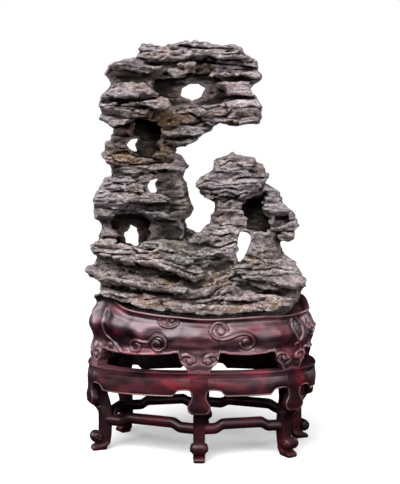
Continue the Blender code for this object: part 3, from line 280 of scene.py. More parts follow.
# Recesses cut back from the face: y of the floor, how round its edges are, outline.
RECESSES = (
    # The cap's long slot, the cleft under the left lobe, the pit, the deep bay round the big hole.
    (-30, 3, ((-98, 588), (-80, 591), (-60, 594), (-34, 593), (-36, 587), (-60, 585), (-82, 582),
        (-96, 578))),
    (-50, 3, ((-140, 556), (-118, 555), (-96, 550), (-72, 542), (-54, 548), (-42, 543), (-74, 537),
        (-124, 538), (-140, 536))),
    (-36, 4, ((-17, 568), (-3, 572), (10, 568), (12, 559), (5, 552), (-8, 552), (-15, 559))),
    (-22, 7, ((-78, 538), (-45, 543), (-20, 548), (20, 546), (30, 541), (18, 535), (28, 528), (33, 518),
        (26, 508), (5, 503), (-15, 502), (-24, 496), (-42, 493), (-52, 500), (-50, 514), (-64, 521),
        (-72, 530))),
    # Bands under the left plate and the pointed block, and the bay beside the second hole.
    (-60, 3, ((-152, 507), (-100, 508), (-84, 505), (-72, 499), (-84, 497), (-150, 499))),
    (-46, 5, ((-80, 497), (-52, 500), (-34, 492), (-30, 484), (-44, 478), (-80, 484))),
    (-8, 7, ((-106, 470), (-96, 482), (-80, 484), (-66, 476), (-60, 462), (-68, 448), (-62, 438),
        (-76, 430), (-96, 430), (-104, 446), (-96, 457), (-106, 458))),
    (-26, 5, ((-96, 446), (-62, 445), (-34, 444), (-38, 432), (-28, 430), (-60, 424), (-92, 430))),
    # The column: dark wall right of the third hole, slot under the bright ledge, the lower left cave.
    (-32, 5, ((-74, 402), (-60, 405), (-34, 405), (-24, 390), (-20, 370), (-30, 352), (-50, 346),
        (-48, 366), (-64, 375), (-70, 388))),
    (-48, 3, ((-118, 362), (-96, 361), (-76, 358), (-48, 360), (-46, 353), (-84, 352), (-114, 354))),
    (-4, 8, ((-138, 328), (-130, 340), (-110, 343), (-96, 340), (-84, 332), (-80, 316), (-90, 298),
        (-102, 294), (-114, 297), (-130, 300), (-132, 314))),
    (-30, 6, ((-94, 332), (-60, 333), (-34, 330), (-30, 312), (-40, 303), (-64, 305), (-92, 298))),
    (-8, 5, ((-32, 330), (-20, 330), (-10, 316), (-18, 306), (-30, 308))),
    # The tower's deep cave and two pits.
    (2, 7, ((54, 356), (66, 366), (78, 371), (88, 364), (92, 348), (98, 326), (96, 314), (84, 316),
        (62, 320), (64, 335), (56, 348))),
    (-30, 4, ((84, 378), (96, 380), (96, 370), (86, 366))),
    (-38, 4, ((104, 324), (112, 336), (126, 340), (126, 332), (114, 322))),
    # The base: hollow under the sweeping slab, smooth concave middle, clefts at both lower corners.
    (-66, 4, ((-162, 279), (-140, 277), (-125, 270), (-96, 265), (-73, 264), (-50, 256), (-36, 249),
        (-40, 240), (-60, 249), (-80, 254), (-120, 258), (-146, 263))),
    (-76, 3, ((-92, 241), (-60, 240), (-20, 236), (10, 240), (34, 240), (60, 232), (40, 228), (0, 232),
        (-50, 234))),
    (-68, 4, ((40, 246), (68, 236), (86, 229), (130, 232), (146, 222), (120, 222), (84, 224), (56, 234))),
)
# Dark lines between layers, drawn on the face, by their depth and half width.
CREVICES = {
    (5, 1.1): (
        ((-34, 594), (0, 589), (26, 588), (44, 589)), ((-82, 566), (-54, 564), (-34, 570), (-17, 571)),
        ((52, 544), (70, 542), (86, 542)), ((-20, 501), (-6, 504), (6, 499), (22, 503), (32, 501)),
        ((-34, 477), (-14, 476), (2, 481), (22, 479)), ((-12, 383), (12, 378), (34, 382), (50, 381)),
        ((18, 372), (34, 376), (50, 371), (66, 375)), ((44, 394), (62, 397), (90, 397)),
        ((10, 313), (28, 309), (40, 313), (56, 308)), ((-165, 285), (-138, 283), (-112, 282), (-84, 284)),
        ((-60, 268), (-36, 260), (-12, 251)), ((-140, 232), (-112, 224), (-80, 226), (-46, 220)),
    ),
    (4, 0.9): (
        ((28, 580), (44, 581), (60, 580)), ((-158, 374), (-128, 377), (-96, 374)),
    ),
    (6, 1.2): (
        ((0, 573), (8, 577), (20, 572), (54, 572)), ((12, 568), (26, 566), (56, 563), (82, 559)),
        ((-140, 513), (-96, 513), (-72, 516)), ((6, 295), (26, 293), (46, 300), (58, 298)),
    ),
    (4, 1.0): (
        ((28, 560), (46, 557), (66, 556)), ((60, 502), (74, 503), (86, 497)),
        ((-34, 492), (-20, 493), (-8, 485), (8, 494), (26, 493)),
        ((-140, 471), (-118, 476), (-104, 481), (-92, 485)), ((-142, 430), (-118, 436), (-100, 428)),
        ((-146, 424), (-110, 418), (-90, 416), (-60, 420)), ((-128, 408), (-96, 412), (-72, 404)),
        ((-142, 392), (-118, 386), (-98, 392)), ((-156, 352), (-134, 350), (-118, 346)),
        ((-4, 390), (10, 393), (24, 389)), ((10, 402), (26, 407), (34, 404)),
        ((44, 408), (62, 410), (80, 405)), ((24, 414), (40, 422), (60, 412), (76, 414)),
        ((30, 360), (44, 366), (60, 362)), ((8, 344), (22, 340), (30, 343)),
        ((24, 325), (44, 326), (56, 324)), ((66, 292), (84, 284), (100, 288)),
        ((66, 280), (84, 276), (92, 270)), ((96, 322), (114, 314), (122, 312)),
        ((-140, 290), (-108, 288), (-70, 290), (-46, 284)),
        ((-100, 274), (-64, 276), (-36, 266), (-14, 262)), ((44, 262), (76, 258), (112, 262), (142, 256)),
        ((50, 252), (84, 250), (130, 250)), ((-88, 214), (-54, 218), (-20, 212), (8, 218)),
        ((-10, 208), (24, 212), (58, 208), (92, 214)),
    ),
    (6, 1.3): (
        ((34, 517), (54, 518), (70, 516), (82, 517)),
    ),
    (3, 0.8): (
        ((-150, 503), (-110, 504), (-84, 501)), ((-164, 362), (-140, 360), (-122, 362)),
    ),
}
# Soft places on the face, as x, z, half width, half height and strength: rusty or ochre; pale, which is
# painted light on broad faces that the lamps light; dull, which is painted shade in set-back places and under
# ledges; dark in the caves, which is painted shade; and with fainter layers.
RUST = (
    (-110, 424, 45, 10, 0.9), (-120, 463, 16, 8, 0.9), (-92, 492, 40, 8, 0.5), (-50, 245, 16, 6, 1.0),
    (70, 276, 14, 5, 0.7), (50, 205, 30, 6, 0.6), (-120, 438, 26, 10, 0.8), (-30, 490, 34, 12, 0.55),
    (0, 560, 16, 8, 0.8), (-60, 520, 26, 14, 0.6), (20, 522, 22, 12, 0.5), (-70, 215, 40, 8, 0.6),
    (20, 245, 26, 12, 0.45), (-108, 312, 16, 12, 0.6), (110, 215, 20, 6, 0.5), (-88, 470, 26, 12, 0.5),
    (55, 500, 20, 8, 0.35), (40, 392, 18, 8, 0.25), (-60, 575, 30, 6, 0.35), (60, 575, 20, 6, 0.3),
    (-62, 446, 20, 16, 0.9), (-58, 477, 20, 7, 0.8),
)
# Painted light: these broad faces are made paler, as the lamps fall on them fully.
LIT_FACE_PATCHES = (
    (62, 520, 38, 28, 1.1), (-75, 268, 64, 18, 1.0), (-100, 545, 44, 16, 0.4), (-10, 578, 70, 12, 0.5),
    (-112, 515, 30, 18, 0.4), (66, 258, 60, 20, 0.2),
)
# Painted shade: a darker, greyer tone in the set-back column, the concave middle and under ledges.
SHADE_PATCHES = (
    (-46, 352, 24, 52, 1.1), (-22, 285, 40, 26, 1.0), (10, 252, 50, 24, 0.8), (62, 268, 18, 22, 0.7),
    (-16, 470, 50, 12, 0.5), (-60, 545, 26, 12, 0.6), (75, 322, 18, 30, 0.7), (-96, 478, 34, 14, 0.5),
    (-70, 440, 30, 26, 0.5),
)
# Painted shade: the caves and deepest hollows, painted near black.
CAVE_SHADE = (
    (-108, 331, 26, 12, 1.0), (-93, 314, 9, 18, 0.9), (70, 354, 20, 24, 0.9), (-90, 466, 28, 14, 0.9),
    (-50, 530, 24, 10, 0.9), (-60, 392, 10, 13, 0.9), (-16, 541, 30, 7, 0.7), (6, 508, 22, 7, 0.4),
    (-92, 447, 11, 18, 1.0), (-42, 374, 17, 36, 0.8), (-60, 312, 20, 14, 0.5),
)
SMOOTH = (
    (64, 520, 40, 26, 0.55), (-112, 528, 34, 16, 0.4), (106, 250, 36, 26, 0.45), (-120, 395, 26, 20, 0.35),
    (-44, 350, 22, 50, 0.5), (36, 330, 24, 24, 0.3),
)
# Height of the stone's lower front edge, where it dips behind the cradle's rim, by x.
LOWER_EDGE = (
    (-160, 234), (-132, 230), (-107, 219), (-87, 214), (-40, 208), (0, 202), (47, 208), (94, 209),
    (123, 217), (160, 236),
)
# Height of the cradle's rim, by degrees round the plan.
RIM_HEIGHT = (
    (-180, 228), (-168, 231), (-157, 238), (-143, 219), (-128, 212), (-108, 208), (-90, 205), (-66, 206),
    (-45, 208), (-30, 207), (-20, 209), (0, 214), (12, 224), (28, 219), (50, 208), (75, 200), (95, 205),
    (120, 200), (140, 214), (158, 232), (172, 226), (180, 228),
)


# ---------------------------------------------------------------- stone: fields
def lattice_noise(x, y, z, seed):
    """Smooth noise between -1 and 1 on a unit lattice, from an integer hash of each lattice point."""
    ix, iy, iz = (np.floor(v).astype(np.int64) for v in (x, y, z))
    fx, fy, fz = x - ix, y - iy, z - iz
    fx, fy, fz = (f * f * (3.0 - 2.0 * f) for f in (fx, fy, fz))
    total = 0.0
    for dx, dy, dz in CELL_CORNERS:
        key = (ix + dx) * 73856093 ^ (iy + dy) * 19349663 ^ (iz + dz) * 83492791 ^ seed * 2654435761
        key = (key ^ (key >> 13)) * 1274126177 & 0xFFFFFFFF
        value = ((key ^ (key >> 16)) & 0xFFFF) / 32767.5 - 1.0
        weight = (fx if dx else 1 - fx) * (fy if dy else 1 - fy) * (fz if dz else 1 - fz)
        total = total + weight * value
    return total


def grained(x, y, z, grain):
    """Lattice noise of one of the named sizes."""
    across, deep, up, seed = grain
    return lattice_noise(x / across, y / deep, z / up, seed)


def smooth_max(a, b, blend):
    return np.maximum(a, b) + np.maximum(blend - np.abs(a - b), 0.0) ** 2 / (4.0 * blend)


def smooth_min(a, b, blend):
    return -smooth_max(-a, -b, blend)


def segment_distance(u, w, start, end):
    """Distance from points (u, w) to a straight line between two points."""
    ex, ez = end - start
    share = np.clip(((u - start[0]) * ex + (w - start[1]) * ez) / (ex * ex + ez * ez), 0.0, 1.0)
    return np.hypot(u - start[0] - share * ex, w - start[1] - share * ez)


def polygon_distance(points, u, w):
    """Signed distance from points (u, w) to a closed polygon, positive inside."""
    corners = np.array(points, float) * MM
    corners += FACE_SHIFT * MM
    nearest = np.full(u.shape, 1.0)
    inside = np.zeros(u.shape, bool)
    for start, end in zip(corners, np.roll(corners, -1, axis=0)):
        nearest = np.minimum(nearest, segment_distance(u, w, start, end))
        ex, ez = end - start
        if ez != 0.0:
            inside ^= ((start[1] > w) != (end[1] > w)) & (u < ex * (w - start[1]) / ez + start[0])
    return np.where(inside, nearest, -nearest)


def face_table(polygon):
    """A fine table of a polygon's signed distance over the face, and the function that reads it."""
    us = np.arange(ROCK_LOW[0] - 0.03, ROCK_HIGH[0] + 0.03, FACE_STEP)
    ws = np.arange(ROCK_LOW[2] - 0.05, ROCK_HIGH[2] + 0.05, FACE_STEP)
    table = polygon_distance(polygon, *np.meshgrid(us, ws, indexing="ij"))

    def read(u, w):
        i = np.clip((u - us[0]) / FACE_STEP, 0.0, len(us) - 1.001)
        j = np.clip((w - ws[0]) / FACE_STEP, 0.0, len(ws) - 1.001)
        i0, j0 = i.astype(int), j.astype(int)
        i, j = i - i0, j - j0
        low = table[i0, j0] * (1 - i) + table[i0 + 1, j0] * i
        high = table[i0, j0 + 1] * (1 - i) + table[i0 + 1, j0 + 1] * i
        return low * (1 - j) + high * j
    return read


def to_world(u, w, y):
    """Where the face's point (u, w), in millimetres, lies at depth y, in metres."""
    reach = (y - EYE.y) / -EYE.y
    x = EYE.x + ((u + FACE_SHIFT[0]) * MM - EYE.x) * reach
    z = EYE.z + ((w + FACE_SHIFT[1]) * MM - EYE.z) * reach
    return x, z


def slab(x, y, z, centre, radii, dip, power):
    """Distance-like field of a rounded slab, positive inside; dip lowers its right-hand end."""
    angle = math.radians(dip)
    dx, dy, dz = x - centre[0], y - centre[1], z - centre[2]
    along = dx * math.cos(angle) - dz * math.sin(angle)
    up = dx * math.sin(angle) + dz * math.cos(angle)
    flat = ((along / radii[0]) ** 2 + (dy / radii[1]) ** 2) ** (power / 2.0)
    shape = np.maximum((flat + np.abs(up / radii[2]) ** power) ** (1.0 / power), 1e-3)
    return np.sqrt(dx * dx + dy * dy + dz * dz) * (1.0 / shape - 1.0)


def lump_slab(lump):
    u, w, half_u, half_w, face, dip = lump
    reach = (abs(face) + LUMP_INSIDE) / 2.0 * MM
    middle = face * MM - math.copysign(reach, face)
    cx, cz = to_world(u, w, face * MM)
    return (cx, middle, cz), (half_u * MM, reach, half_w * MM), dip, LUMP_POWER


def hollow_slab(hollow):
    u, w, half_u, half_w, middle, depth = hollow
    cx, cz = to_world(u, w, middle * MM)
    return (cx, middle * MM, cz), (half_u * MM, depth * MM, half_w * MM), 0.0, HOLLOW_POWER


def block_near(axes, centre, radii):
    """The part of the grid round a slab, as slices."""
    reach = max(radii[0], radii[2]) if radii[0] > 3.0 * radii[2] else 0.0
    slices = []
    for axis, middle, radius in zip(axes, centre, (radii[0], radii[1], max(radii[2], 0.3 * reach))):
        low = int(np.searchsorted(axis, middle - radius - BAND))
        high = int(np.searchsorted(axis, middle + radius + BAND))
        slices.append(slice(low, high))
    return tuple(slices)


def seat_height(x, y):
    """Underside of the stone: a shallow keel that the cradle's basin repeats, and a level lip round it."""
    knots = np.array(LOWER_EDGE, float) * MM
    edge = np.interp(x, knots[:, 0] + FACE_SHIFT[0] * MM, knots[:, 1] + LIP_RISE)
    keel = SEAT_FLOOR + KEEL_RISE * (np.abs(x) / KEEL_HALF) ** 3
    return keel + (edge - keel) * np.minimum(np.abs(y) / SEAT_HALF, 1.0) ** 2


def rim_keep_out(x, y, z):
    """Field of the space that the cradle's rim takes, positive inside."""
    px = x - STAND_X
    ratio = (np.abs(px) / PLAN_HALF_X) ** PLAN_POWER + (np.abs(y) / PLAN_HALF_Y) ** PLAN_POWER
    ratio = ratio ** (1.0 / PLAN_POWER)
    inward = (1.0 - 1.0 / np.maximum(ratio, 0.1)) * np.hypot(px, y)
    knots = np.array(RIM_HEIGHT, float)
    rim = np.interp(np.degrees(np.arctan2(y, px)), knots[:, 0], knots[:, 1] * MM)
    return np.minimum(inward + RIM_REACH, rim + RIM_CLEARANCE - z)


def bedding(x, y, z):
    """Height measured across the stone's layers, which wave a little and dip at the lower left."""
    wave = WAVE_HEIGHT * grained(x, y, z, BEDDING_WAVE)
    tilt = TILT * np.clip((0.33 - z) / 0.06, 0.0, 1.0) * np.clip((0.04 - x) / 0.05, 0.0, 1.0)
    return z + wave + tilt * (x + 0.08)


def strata(x, y, z):
    """Layers of the stone: thick beds set in or out, thin leaves, and dark crevices between them."""
    level = bedding(x, y, z)
    fine = level + 0.0030 * grained(x, y, z, WIDE_WANDER) + 0.0010 * grained(x, y, z, FINE_WANDER)
    beds = np.tanh(BED_CONTRAST * grained(x, y, level, BEDS))
    leaves = np.tanh(LEAF_CONTRAST * grained(x, y, fine, LEAVES))
    crevice = np.exp(-(grained(x, y, fine, SEAMS) / SEAM_WIDTH) ** 2)
    layered = np.clip(0.55 + 1.3 * grained(x, y, z, LAYERING), 0.15, 1.0)
    behind = np.clip(0.5 + y / 0.060, 0.0, 1.0)
    return ((BED_HEIGHT + BED_HEIGHT_BEHIND * behind) * beds
            + (LOBE_HEIGHT + LOBE_HEIGHT_BEHIND * behind) * grained(x, y, level, LOBES)
            + layered * (LEAF_HEIGHT * leaves - SEAM_DEPTH * crevice)
            + FLAKE_HEIGHT * grained(x, y, fine, FLAKES) + GRAIN_HEIGHT * grained(x, y, z, GRAIN))


def drawn_block(axes, outline, far):
    """The part of the grid in front of y = far that a drawn outline can reach, as slices."""
    corners = np.array(outline, float) * MM
    low = corners.min(axis=0) - DRAWN_MARGIN[0]
    high = corners.max(axis=0) + DRAWN_MARGIN[1]
    across = slice(*np.searchsorted(axes[0], (low[0], high[0])))
    upward = slice(*np.searchsorted(axes[2], (low[1], high[1])))
    return across, slice(0, int(np.searchsorted(axes[1], far))), upward


def add_ledge(field, axes, u, w, ledge):
    face, rounding, outline = ledge
    part = drawn_block(axes, outline, LEDGE_BACK + BAND)
    y = axes[1][part[1]][None, :, None]
    inside = face_table(outline)(u[part], w[part])
    body = smooth_min(inside, np.minimum(y - face * MM, LEDGE_BACK - y), rounding * MM)
    field[part] = smooth_max(field[part], body, JOIN_BLEND)


def cut_recess(field, calm, axes, u, w, recess):
    """Cut a drawn recess, and mark a cave's floor as a calmer place."""
    floor, rounding, outline = recess
    part = drawn_block(axes, outline, RECESS_BACK)
    y = axes[1][part[1]][None, :, None]
    inside = face_table(outline)(u[part], w[part])
    body = smooth_min(inside, floor * MM - y, rounding * MM)
    field[part] = smooth_min(field[part], -body, CUT_BLEND)
    if floor > CAVE_FLOOR:
        calm[part] = np.maximum(calm[part], np.clip(inside / CALM_EDGE, 0.0, 1.0))


def slab_on_grid(axes, centre, radii, dip, power):
    """A slab's field on the part of the grid round it, and that part."""
    part = block_near(axes, centre, radii)
    return part, slab(*np.ix_(*(a[s] for a, s in zip(axes, part))), centre, radii, dip, power)


def plain_field(axes):
    """The stone without its strata: the field, its distance inside the drawn outline, and the caves."""
    x, y, z = (a.astype(np.float32) for a in np.meshgrid(*axes, indexing="ij", sparse=True))
    reach = -EYE.y / (y - EYE.y)
    u = EYE.x + (x - EYE.x) * reach + 0.0 * z
    w = EYE.z + (z - EYE.z) * reach + 0.0 * x
    edge = face_table(OUTLINE)(u, w).astype(np.float32)
    depth = (np.interp(w / MM, *np.array(CORE_DEPTH, float).T) * MM).astype(np.float32)
    rounding = 1.0 - np.clip(edge / EDGE_ROUNDING, 0.0, 1.0)
    middle = CORE_WANDER * grained(x, 0.0 * x, z, CORE_WAVE)
    field = (depth * np.sqrt(1.0 - rounding ** 2) - np.abs(y - middle)).astype(np.float32)
    for lump in FRONT_LUMPS + BACK_LUMPS:
        part, body = slab_on_grid(axes, *lump_slab(lump))
        field[part] = smooth_max(field[part], body, JOIN_BLEND)
    for hollow in HOLLOWS:
        part, body = slab_on_grid(axes, *hollow_slab(hollow))
        field[part] = smooth_min(field[part], -body, CUT_BLEND)
    for ledge in LEDGES:
        add_ledge(field, axes, u, w, ledge)
    calm = np.zeros(field.shape, np.float32)
    for recess in RECESSES:
        cut_recess(field, calm, axes, u, w, recess)
    return field, edge, u, w, calm


def crevice_depth(y, u, w):
    """How deep the drawn dark lines cut in front, at points on the face."""
    wander = CREVICE_WANDER * grained(u, w, 0.0 * u, LINE_WANDER)
    total = np.zeros(u.shape)
    for depth, half, corners in ((*size, line) for size, lines in CREVICES.items() for line in lines):
        line = np.array(corners, float) * MM + FACE_SHIFT * MM
        low, high = line.min(axis=0) - CREVICE_REACH, line.max(axis=0) + CREVICE_REACH
        close = np.nonzero((u > low[0]) & (u < high[0]) & (w > low[1]) & (w < high[1]) & (y < 0.0))[0]
        distance = line_distance(u[close], w[close] + wander[close], line)
        total[close] = np.maximum(total[close], depth * MM * np.exp(-(distance / (half * MM)) ** 2))
    return total


def rock_grid():
    """The whole stone's field on the grid."""
    axes = [np.arange(low, high, ROCK_CELL) for low, high in zip(ROCK_LOW, ROCK_HIGH)]
    field, edge, u, w, calm = plain_field(axes)
    flare = (HOLE_FLARE * np.maximum(axes[1] - FLARE_START, 0.0)).astype(np.float32)[None, :, None]
    hole = np.full(field.shape, -1.0, np.float32)
    for outline in HOLES:
        hole = np.maximum(hole, face_table(outline)(u, w).astype(np.float32) + flare)
    whole = np.minimum(np.minimum(field, edge), -hole)
    near = np.nonzero(np.abs(whole) < BAND)
    x, y, z = (a[i] for a, i in zip(axes, near))
    seat = z - seat_height(x, y)
    fade = np.clip(np.maximum(seat, np.abs(y) - SEAT_HALF) / KEEL_FADE, 0.0, 1.0)
    fade *= 1.0 - CAVE_CALM * calm[near] * (y < RECESS_BACK)
    fade *= 1.0 - np.clip(patches(x, z, SMOOTH), 0.0, 0.7) * in_front(y)
    value = field[near] + strata(x, y, z) * fade - crevice_depth(y, u[near], w[near])
    ragged = NOTCH_DEPTH * grained(x, y, z, NOTCHES)
    ragged += TOOTH_DEPTH * grained(x, y, z, TEETH)
    value = smooth_min(value, -hole[near] - HOLE_EASE - HOLE_RAGGED * ragged, CUT_BLEND)
    value = smooth_min(value, edge[near] - EDGE_TRIM + ragged * fade, CUT_BLEND)
    torn = np.clip((np.abs(y) - SEAT_HALF) / KEEL_FADE, 0.0, 1.0)
    torn *= LIP_TEARS * (1.0 + grained(x, y, 0.0 * x, TORN_LIP))
    value = smooth_min(value, seat - torn, SEAT_BLEND)
    value = smooth_min(value, -rim_keep_out(x, y, z), JOIN_BLEND)
    whole[near] = value
    return axes, whole


def tetrahedra():
    """Six equal-handed tetrahedra that fill a grid cell, as corner offsets."""
    steps = np.eye(3, dtype=int)
    result = []
    for a, b, even in ((0, 1, 1), (1, 2, 1), (2, 0, 1), (0, 2, 0), (2, 1, 0), (1, 0, 0)):
        first, second, last = steps[a], steps[a] + steps[b], np.array((1, 1, 1))
        corners = [np.zeros(3, int), first, second, last]
        if not even:
            corners[2], corners[3] = corners[3], corners[2]
        result.append(corners)
    return result


def corner_cases():
    """For each pattern of inside corners of a tetrahedron: its triangles, as pairs of corners."""
    cases = {}
    orders = {0: (1, 2, 3), 1: (0, 3, 2), 2: (0, 1, 3), 3: (0, 2, 1)}
    pairs = (((0, 1), (2, 3)), ((0, 2), (3, 1)), ((0, 3), (1, 2)), ((2, 3), (0, 1)), ((3, 1), (0, 2)),
             ((1, 2), (0, 3)))
    for a, (b, c, d) in orders.items():
        cases[1 << a] = [((a, b), (a, c), (a, d))]
        cases[15 ^ (1 << a)] = [((a, b), (a, d), (a, c))]
    for (a, b), (c, d) in pairs:
        quad = ((a, c), (a, d), (b, d), (b, c))
        cases[(1 << a) | (1 << b)] = [(quad[0], quad[1], quad[2]), (quad[0], quad[2], quad[3])]
    return cases


def read_surface(values, origin, step):
    """Closed triangles of the surface where a grid of values crosses zero."""
    size = values.shape
    flat = values.ravel()
    strides = np.array((size[1] * size[2], size[2], 1))
    inside = values > 0.0
    cells = np.zeros(tuple(n - 1 for n in size), np.int8)
    for i, j, k in CELL_CORNERS:
        cells += inside[i:size[0] - 1 + i, j:size[1] - 1 + j, k:size[2] - 1 + k]
    base = np.argwhere((cells > 0) & (cells < 8)) @ strides
    edges = []
    for corners in tetrahedra():
        ids = base[:, None] + np.array([c @ strides for c in corners])[None, :]
        mask = ((flat[ids] > 0.0) * np.array((1, 2, 4, 8))).sum(1)
        for pattern, triangles in corner_cases().items():
            chosen = ids[mask == pattern]
            for triangle in triangles:
                edges.append(np.stack([np.sort(chosen[:, list(pair)], axis=1) for pair in triangle], axis=1))
    edges = np.concatenate(edges)
    keys = edges[..., 0].astype(np.int64) * flat.size + edges[..., 1]
    unique, faces = np.unique(keys, return_inverse=True)
    a, b = unique // flat.size, unique % flat.size
    share = np.clip(flat[a] / (flat[a] - flat[b]), 0.08, 0.92)[:, None]
    grid = [np.stack(np.unravel_index(i, size), axis=1) * step + np.array(origin) for i in (a, b)]
    return grid[0] + (grid[1] - grid[0]) * share, faces.reshape(-1, 3)


def largest_piece(vertices, faces):
    """Drop crumbs: keep the one connected surface with the most triangles."""
    label = np.arange(len(vertices))
    while True:
        low = label[faces].min(axis=1)
        fresh = label.copy()
        for corner in range(3):
            np.minimum.at(fresh, faces[:, corner], low)
        fresh = fresh[fresh]
        if (fresh == label).all():
            break
        label = fresh
    names, counts = np.unique(label[faces[:, 0]], return_counts=True)
    faces = faces[label[faces[:, 0]] == names[counts.argmax()]]
    used, faces = np.unique(faces, return_inverse=True)
    return vertices[used], faces.reshape(-1, 3)


def link_object(name, data):
    obj = bpy.data.objects.new(name, data)
    bpy.context.collection.objects.link(obj)
    return obj


def evaluated_mesh(obj):
    """The object's mesh with its modifiers worked out."""
    return bpy.data.meshes.new_from_object(obj.evaluated_get(bpy.context.evaluated_depsgraph_get()))


def dress(piece, material, sharp):
    """Give a piece its material, and smooth faces with edges marked by angle, in degrees."""
    mesh = piece.data
    mesh.materials.clear()
    mesh.materials.append(material)
    mesh.shade_smooth()
    mesh.set_sharp_from_angle(angle=math.radians(sharp))


def mesh_from_arrays(name, vertices, faces):
    mesh = bpy.data.meshes.new(name)
    mesh.vertices.add(len(vertices))
    mesh.vertices.foreach_set("co", np.asarray(vertices, np.float32).ravel())
    mesh.loops.add(faces.size)
    mesh.loops.foreach_set("vertex_index", faces.astype(np.int32).ravel())
    mesh.polygons.add(len(faces))
    mesh.polygons.foreach_set("loop_start", np.arange(0, faces.size, 3, dtype=np.int32))
    mesh.update(calc_edges=True)
    mesh.validate()
    return mesh


def thinned(mesh, triangles):
    """The same mesh with fewer triangles."""
    obj = link_object(mesh.name, mesh)
    thin = obj.modifiers.new("facets", "DECIMATE")
    thin.ratio = min(triangles / len(mesh.polygons), 1.0)
    result = evaluated_mesh(obj)
    bpy.data.objects.remove(obj)
    return result


# ---------------------------------------------------------------- stone: hollowness, for colour
def box_blur(values, radius):
    """Mean over a cube of cells, by running sums along each axis."""
    for axis in range(3):
        pad = [(0, 0)] * 3
        pad[axis] = (radius + 1, radius)
        running = np.cumsum(np.pad(values, pad, mode="edge"), axis=axis, dtype=np.float32)
        length = values.shape[axis]
        high = np.take(running, np.arange(2 * radius + 1, 2 * radius + 1 + length), axis=axis)
        low = np.take(running, np.arange(0, length), axis=axis)
        values = (high - low) / (2 * radius + 1)
    return values


def sample_grid(values, axes, points):
    """Trilinear reading of grid values at points."""
    where = [np.clip((points[:, k] - axes[k][0]) / ROCK_CELL, 0.0, len(axes[k]) - 1.001) for k in range(3)]
    low = [w.astype(int) for w in where]
    part = [w - i for w, i in zip(where, low)]
    total = np.zeros(len(points))
    for dx, dy, dz in CELL_CORNERS:
        weight = (part[0] if dx else 1 - part[0]) * (part[1] if dy else 1 - part[1])
        weight = weight * (part[2] if dz else 1 - part[2])
        total += weight * values[low[0] + dx, low[1] + dy, low[2] + dz]
    return total


def add_attribute(mesh, name, values):
    layer = mesh.attributes.new(name, "FLOAT", "POINT")
    layer.data.foreach_set("value", np.asarray(values, np.float32))


def mesh_points(mesh):
    points = np.empty(len(mesh.vertices) * 3, np.float32)
    mesh.vertices.foreach_get("co", points)
    return points.reshape(-1, 3).astype(float)


def in_front(y):
    """1 on the stone's front, 0 on its back."""
    return np.clip(0.5 - y / 0.05, 0.0, 1.0)


def patches(x, z, table):
    """Soft spots on the stone's face from a table of x, z, half width, half height (mm) and strength."""
    total = 0
    for u, w, half_u, half_w, strength in table:
        cx, cz = to_world(u, w, FACE_MIDDLE * MM)
        total = total + strength * np.exp(-((x - cx) / (half_u * MM)) ** 2 - ((z - cz) / (half_w * MM)) ** 2)
    return total


def colour_attributes(mesh, axes, field):
    """How crowded by stone each point is, and the soft places on the face: rust, painted light and painted
    shade.
    """
    points = mesh_points(mesh)
    x, y, z = points.T
    solid = (field > 0.0).astype(np.float32)
    scale = FINE_CELL / ROCK_CELL
    for name, radius in CROWDING:
        filled = sample_grid(box_blur(solid, max(1, round(radius * scale))), axes, points)
        add_attribute(mesh, name, filled)
    front = in_front(y)
    elsewhere = np.clip(grained(x, y, z, STAINS) - 0.25, 0.0, 1.0)
    add_attribute(mesh, "rust", patches(x, z, RUST) * front + elsewhere * (1.0 - 0.6 * front))
    # Painted light on lit faces; painted shade in set-back places and in the caves.
    for name, table in (("painted_shade", SHADE_PATCHES), ("pale", LIT_FACE_PATCHES), ("cave", CAVE_SHADE)):
        add_attribute(mesh, name, np.clip(patches(x, z, table), 0.0, 1.0) * front)
    add_attribute(mesh, "low", np.clip((0.36 - z) / 0.14, 0.0, 1.0))


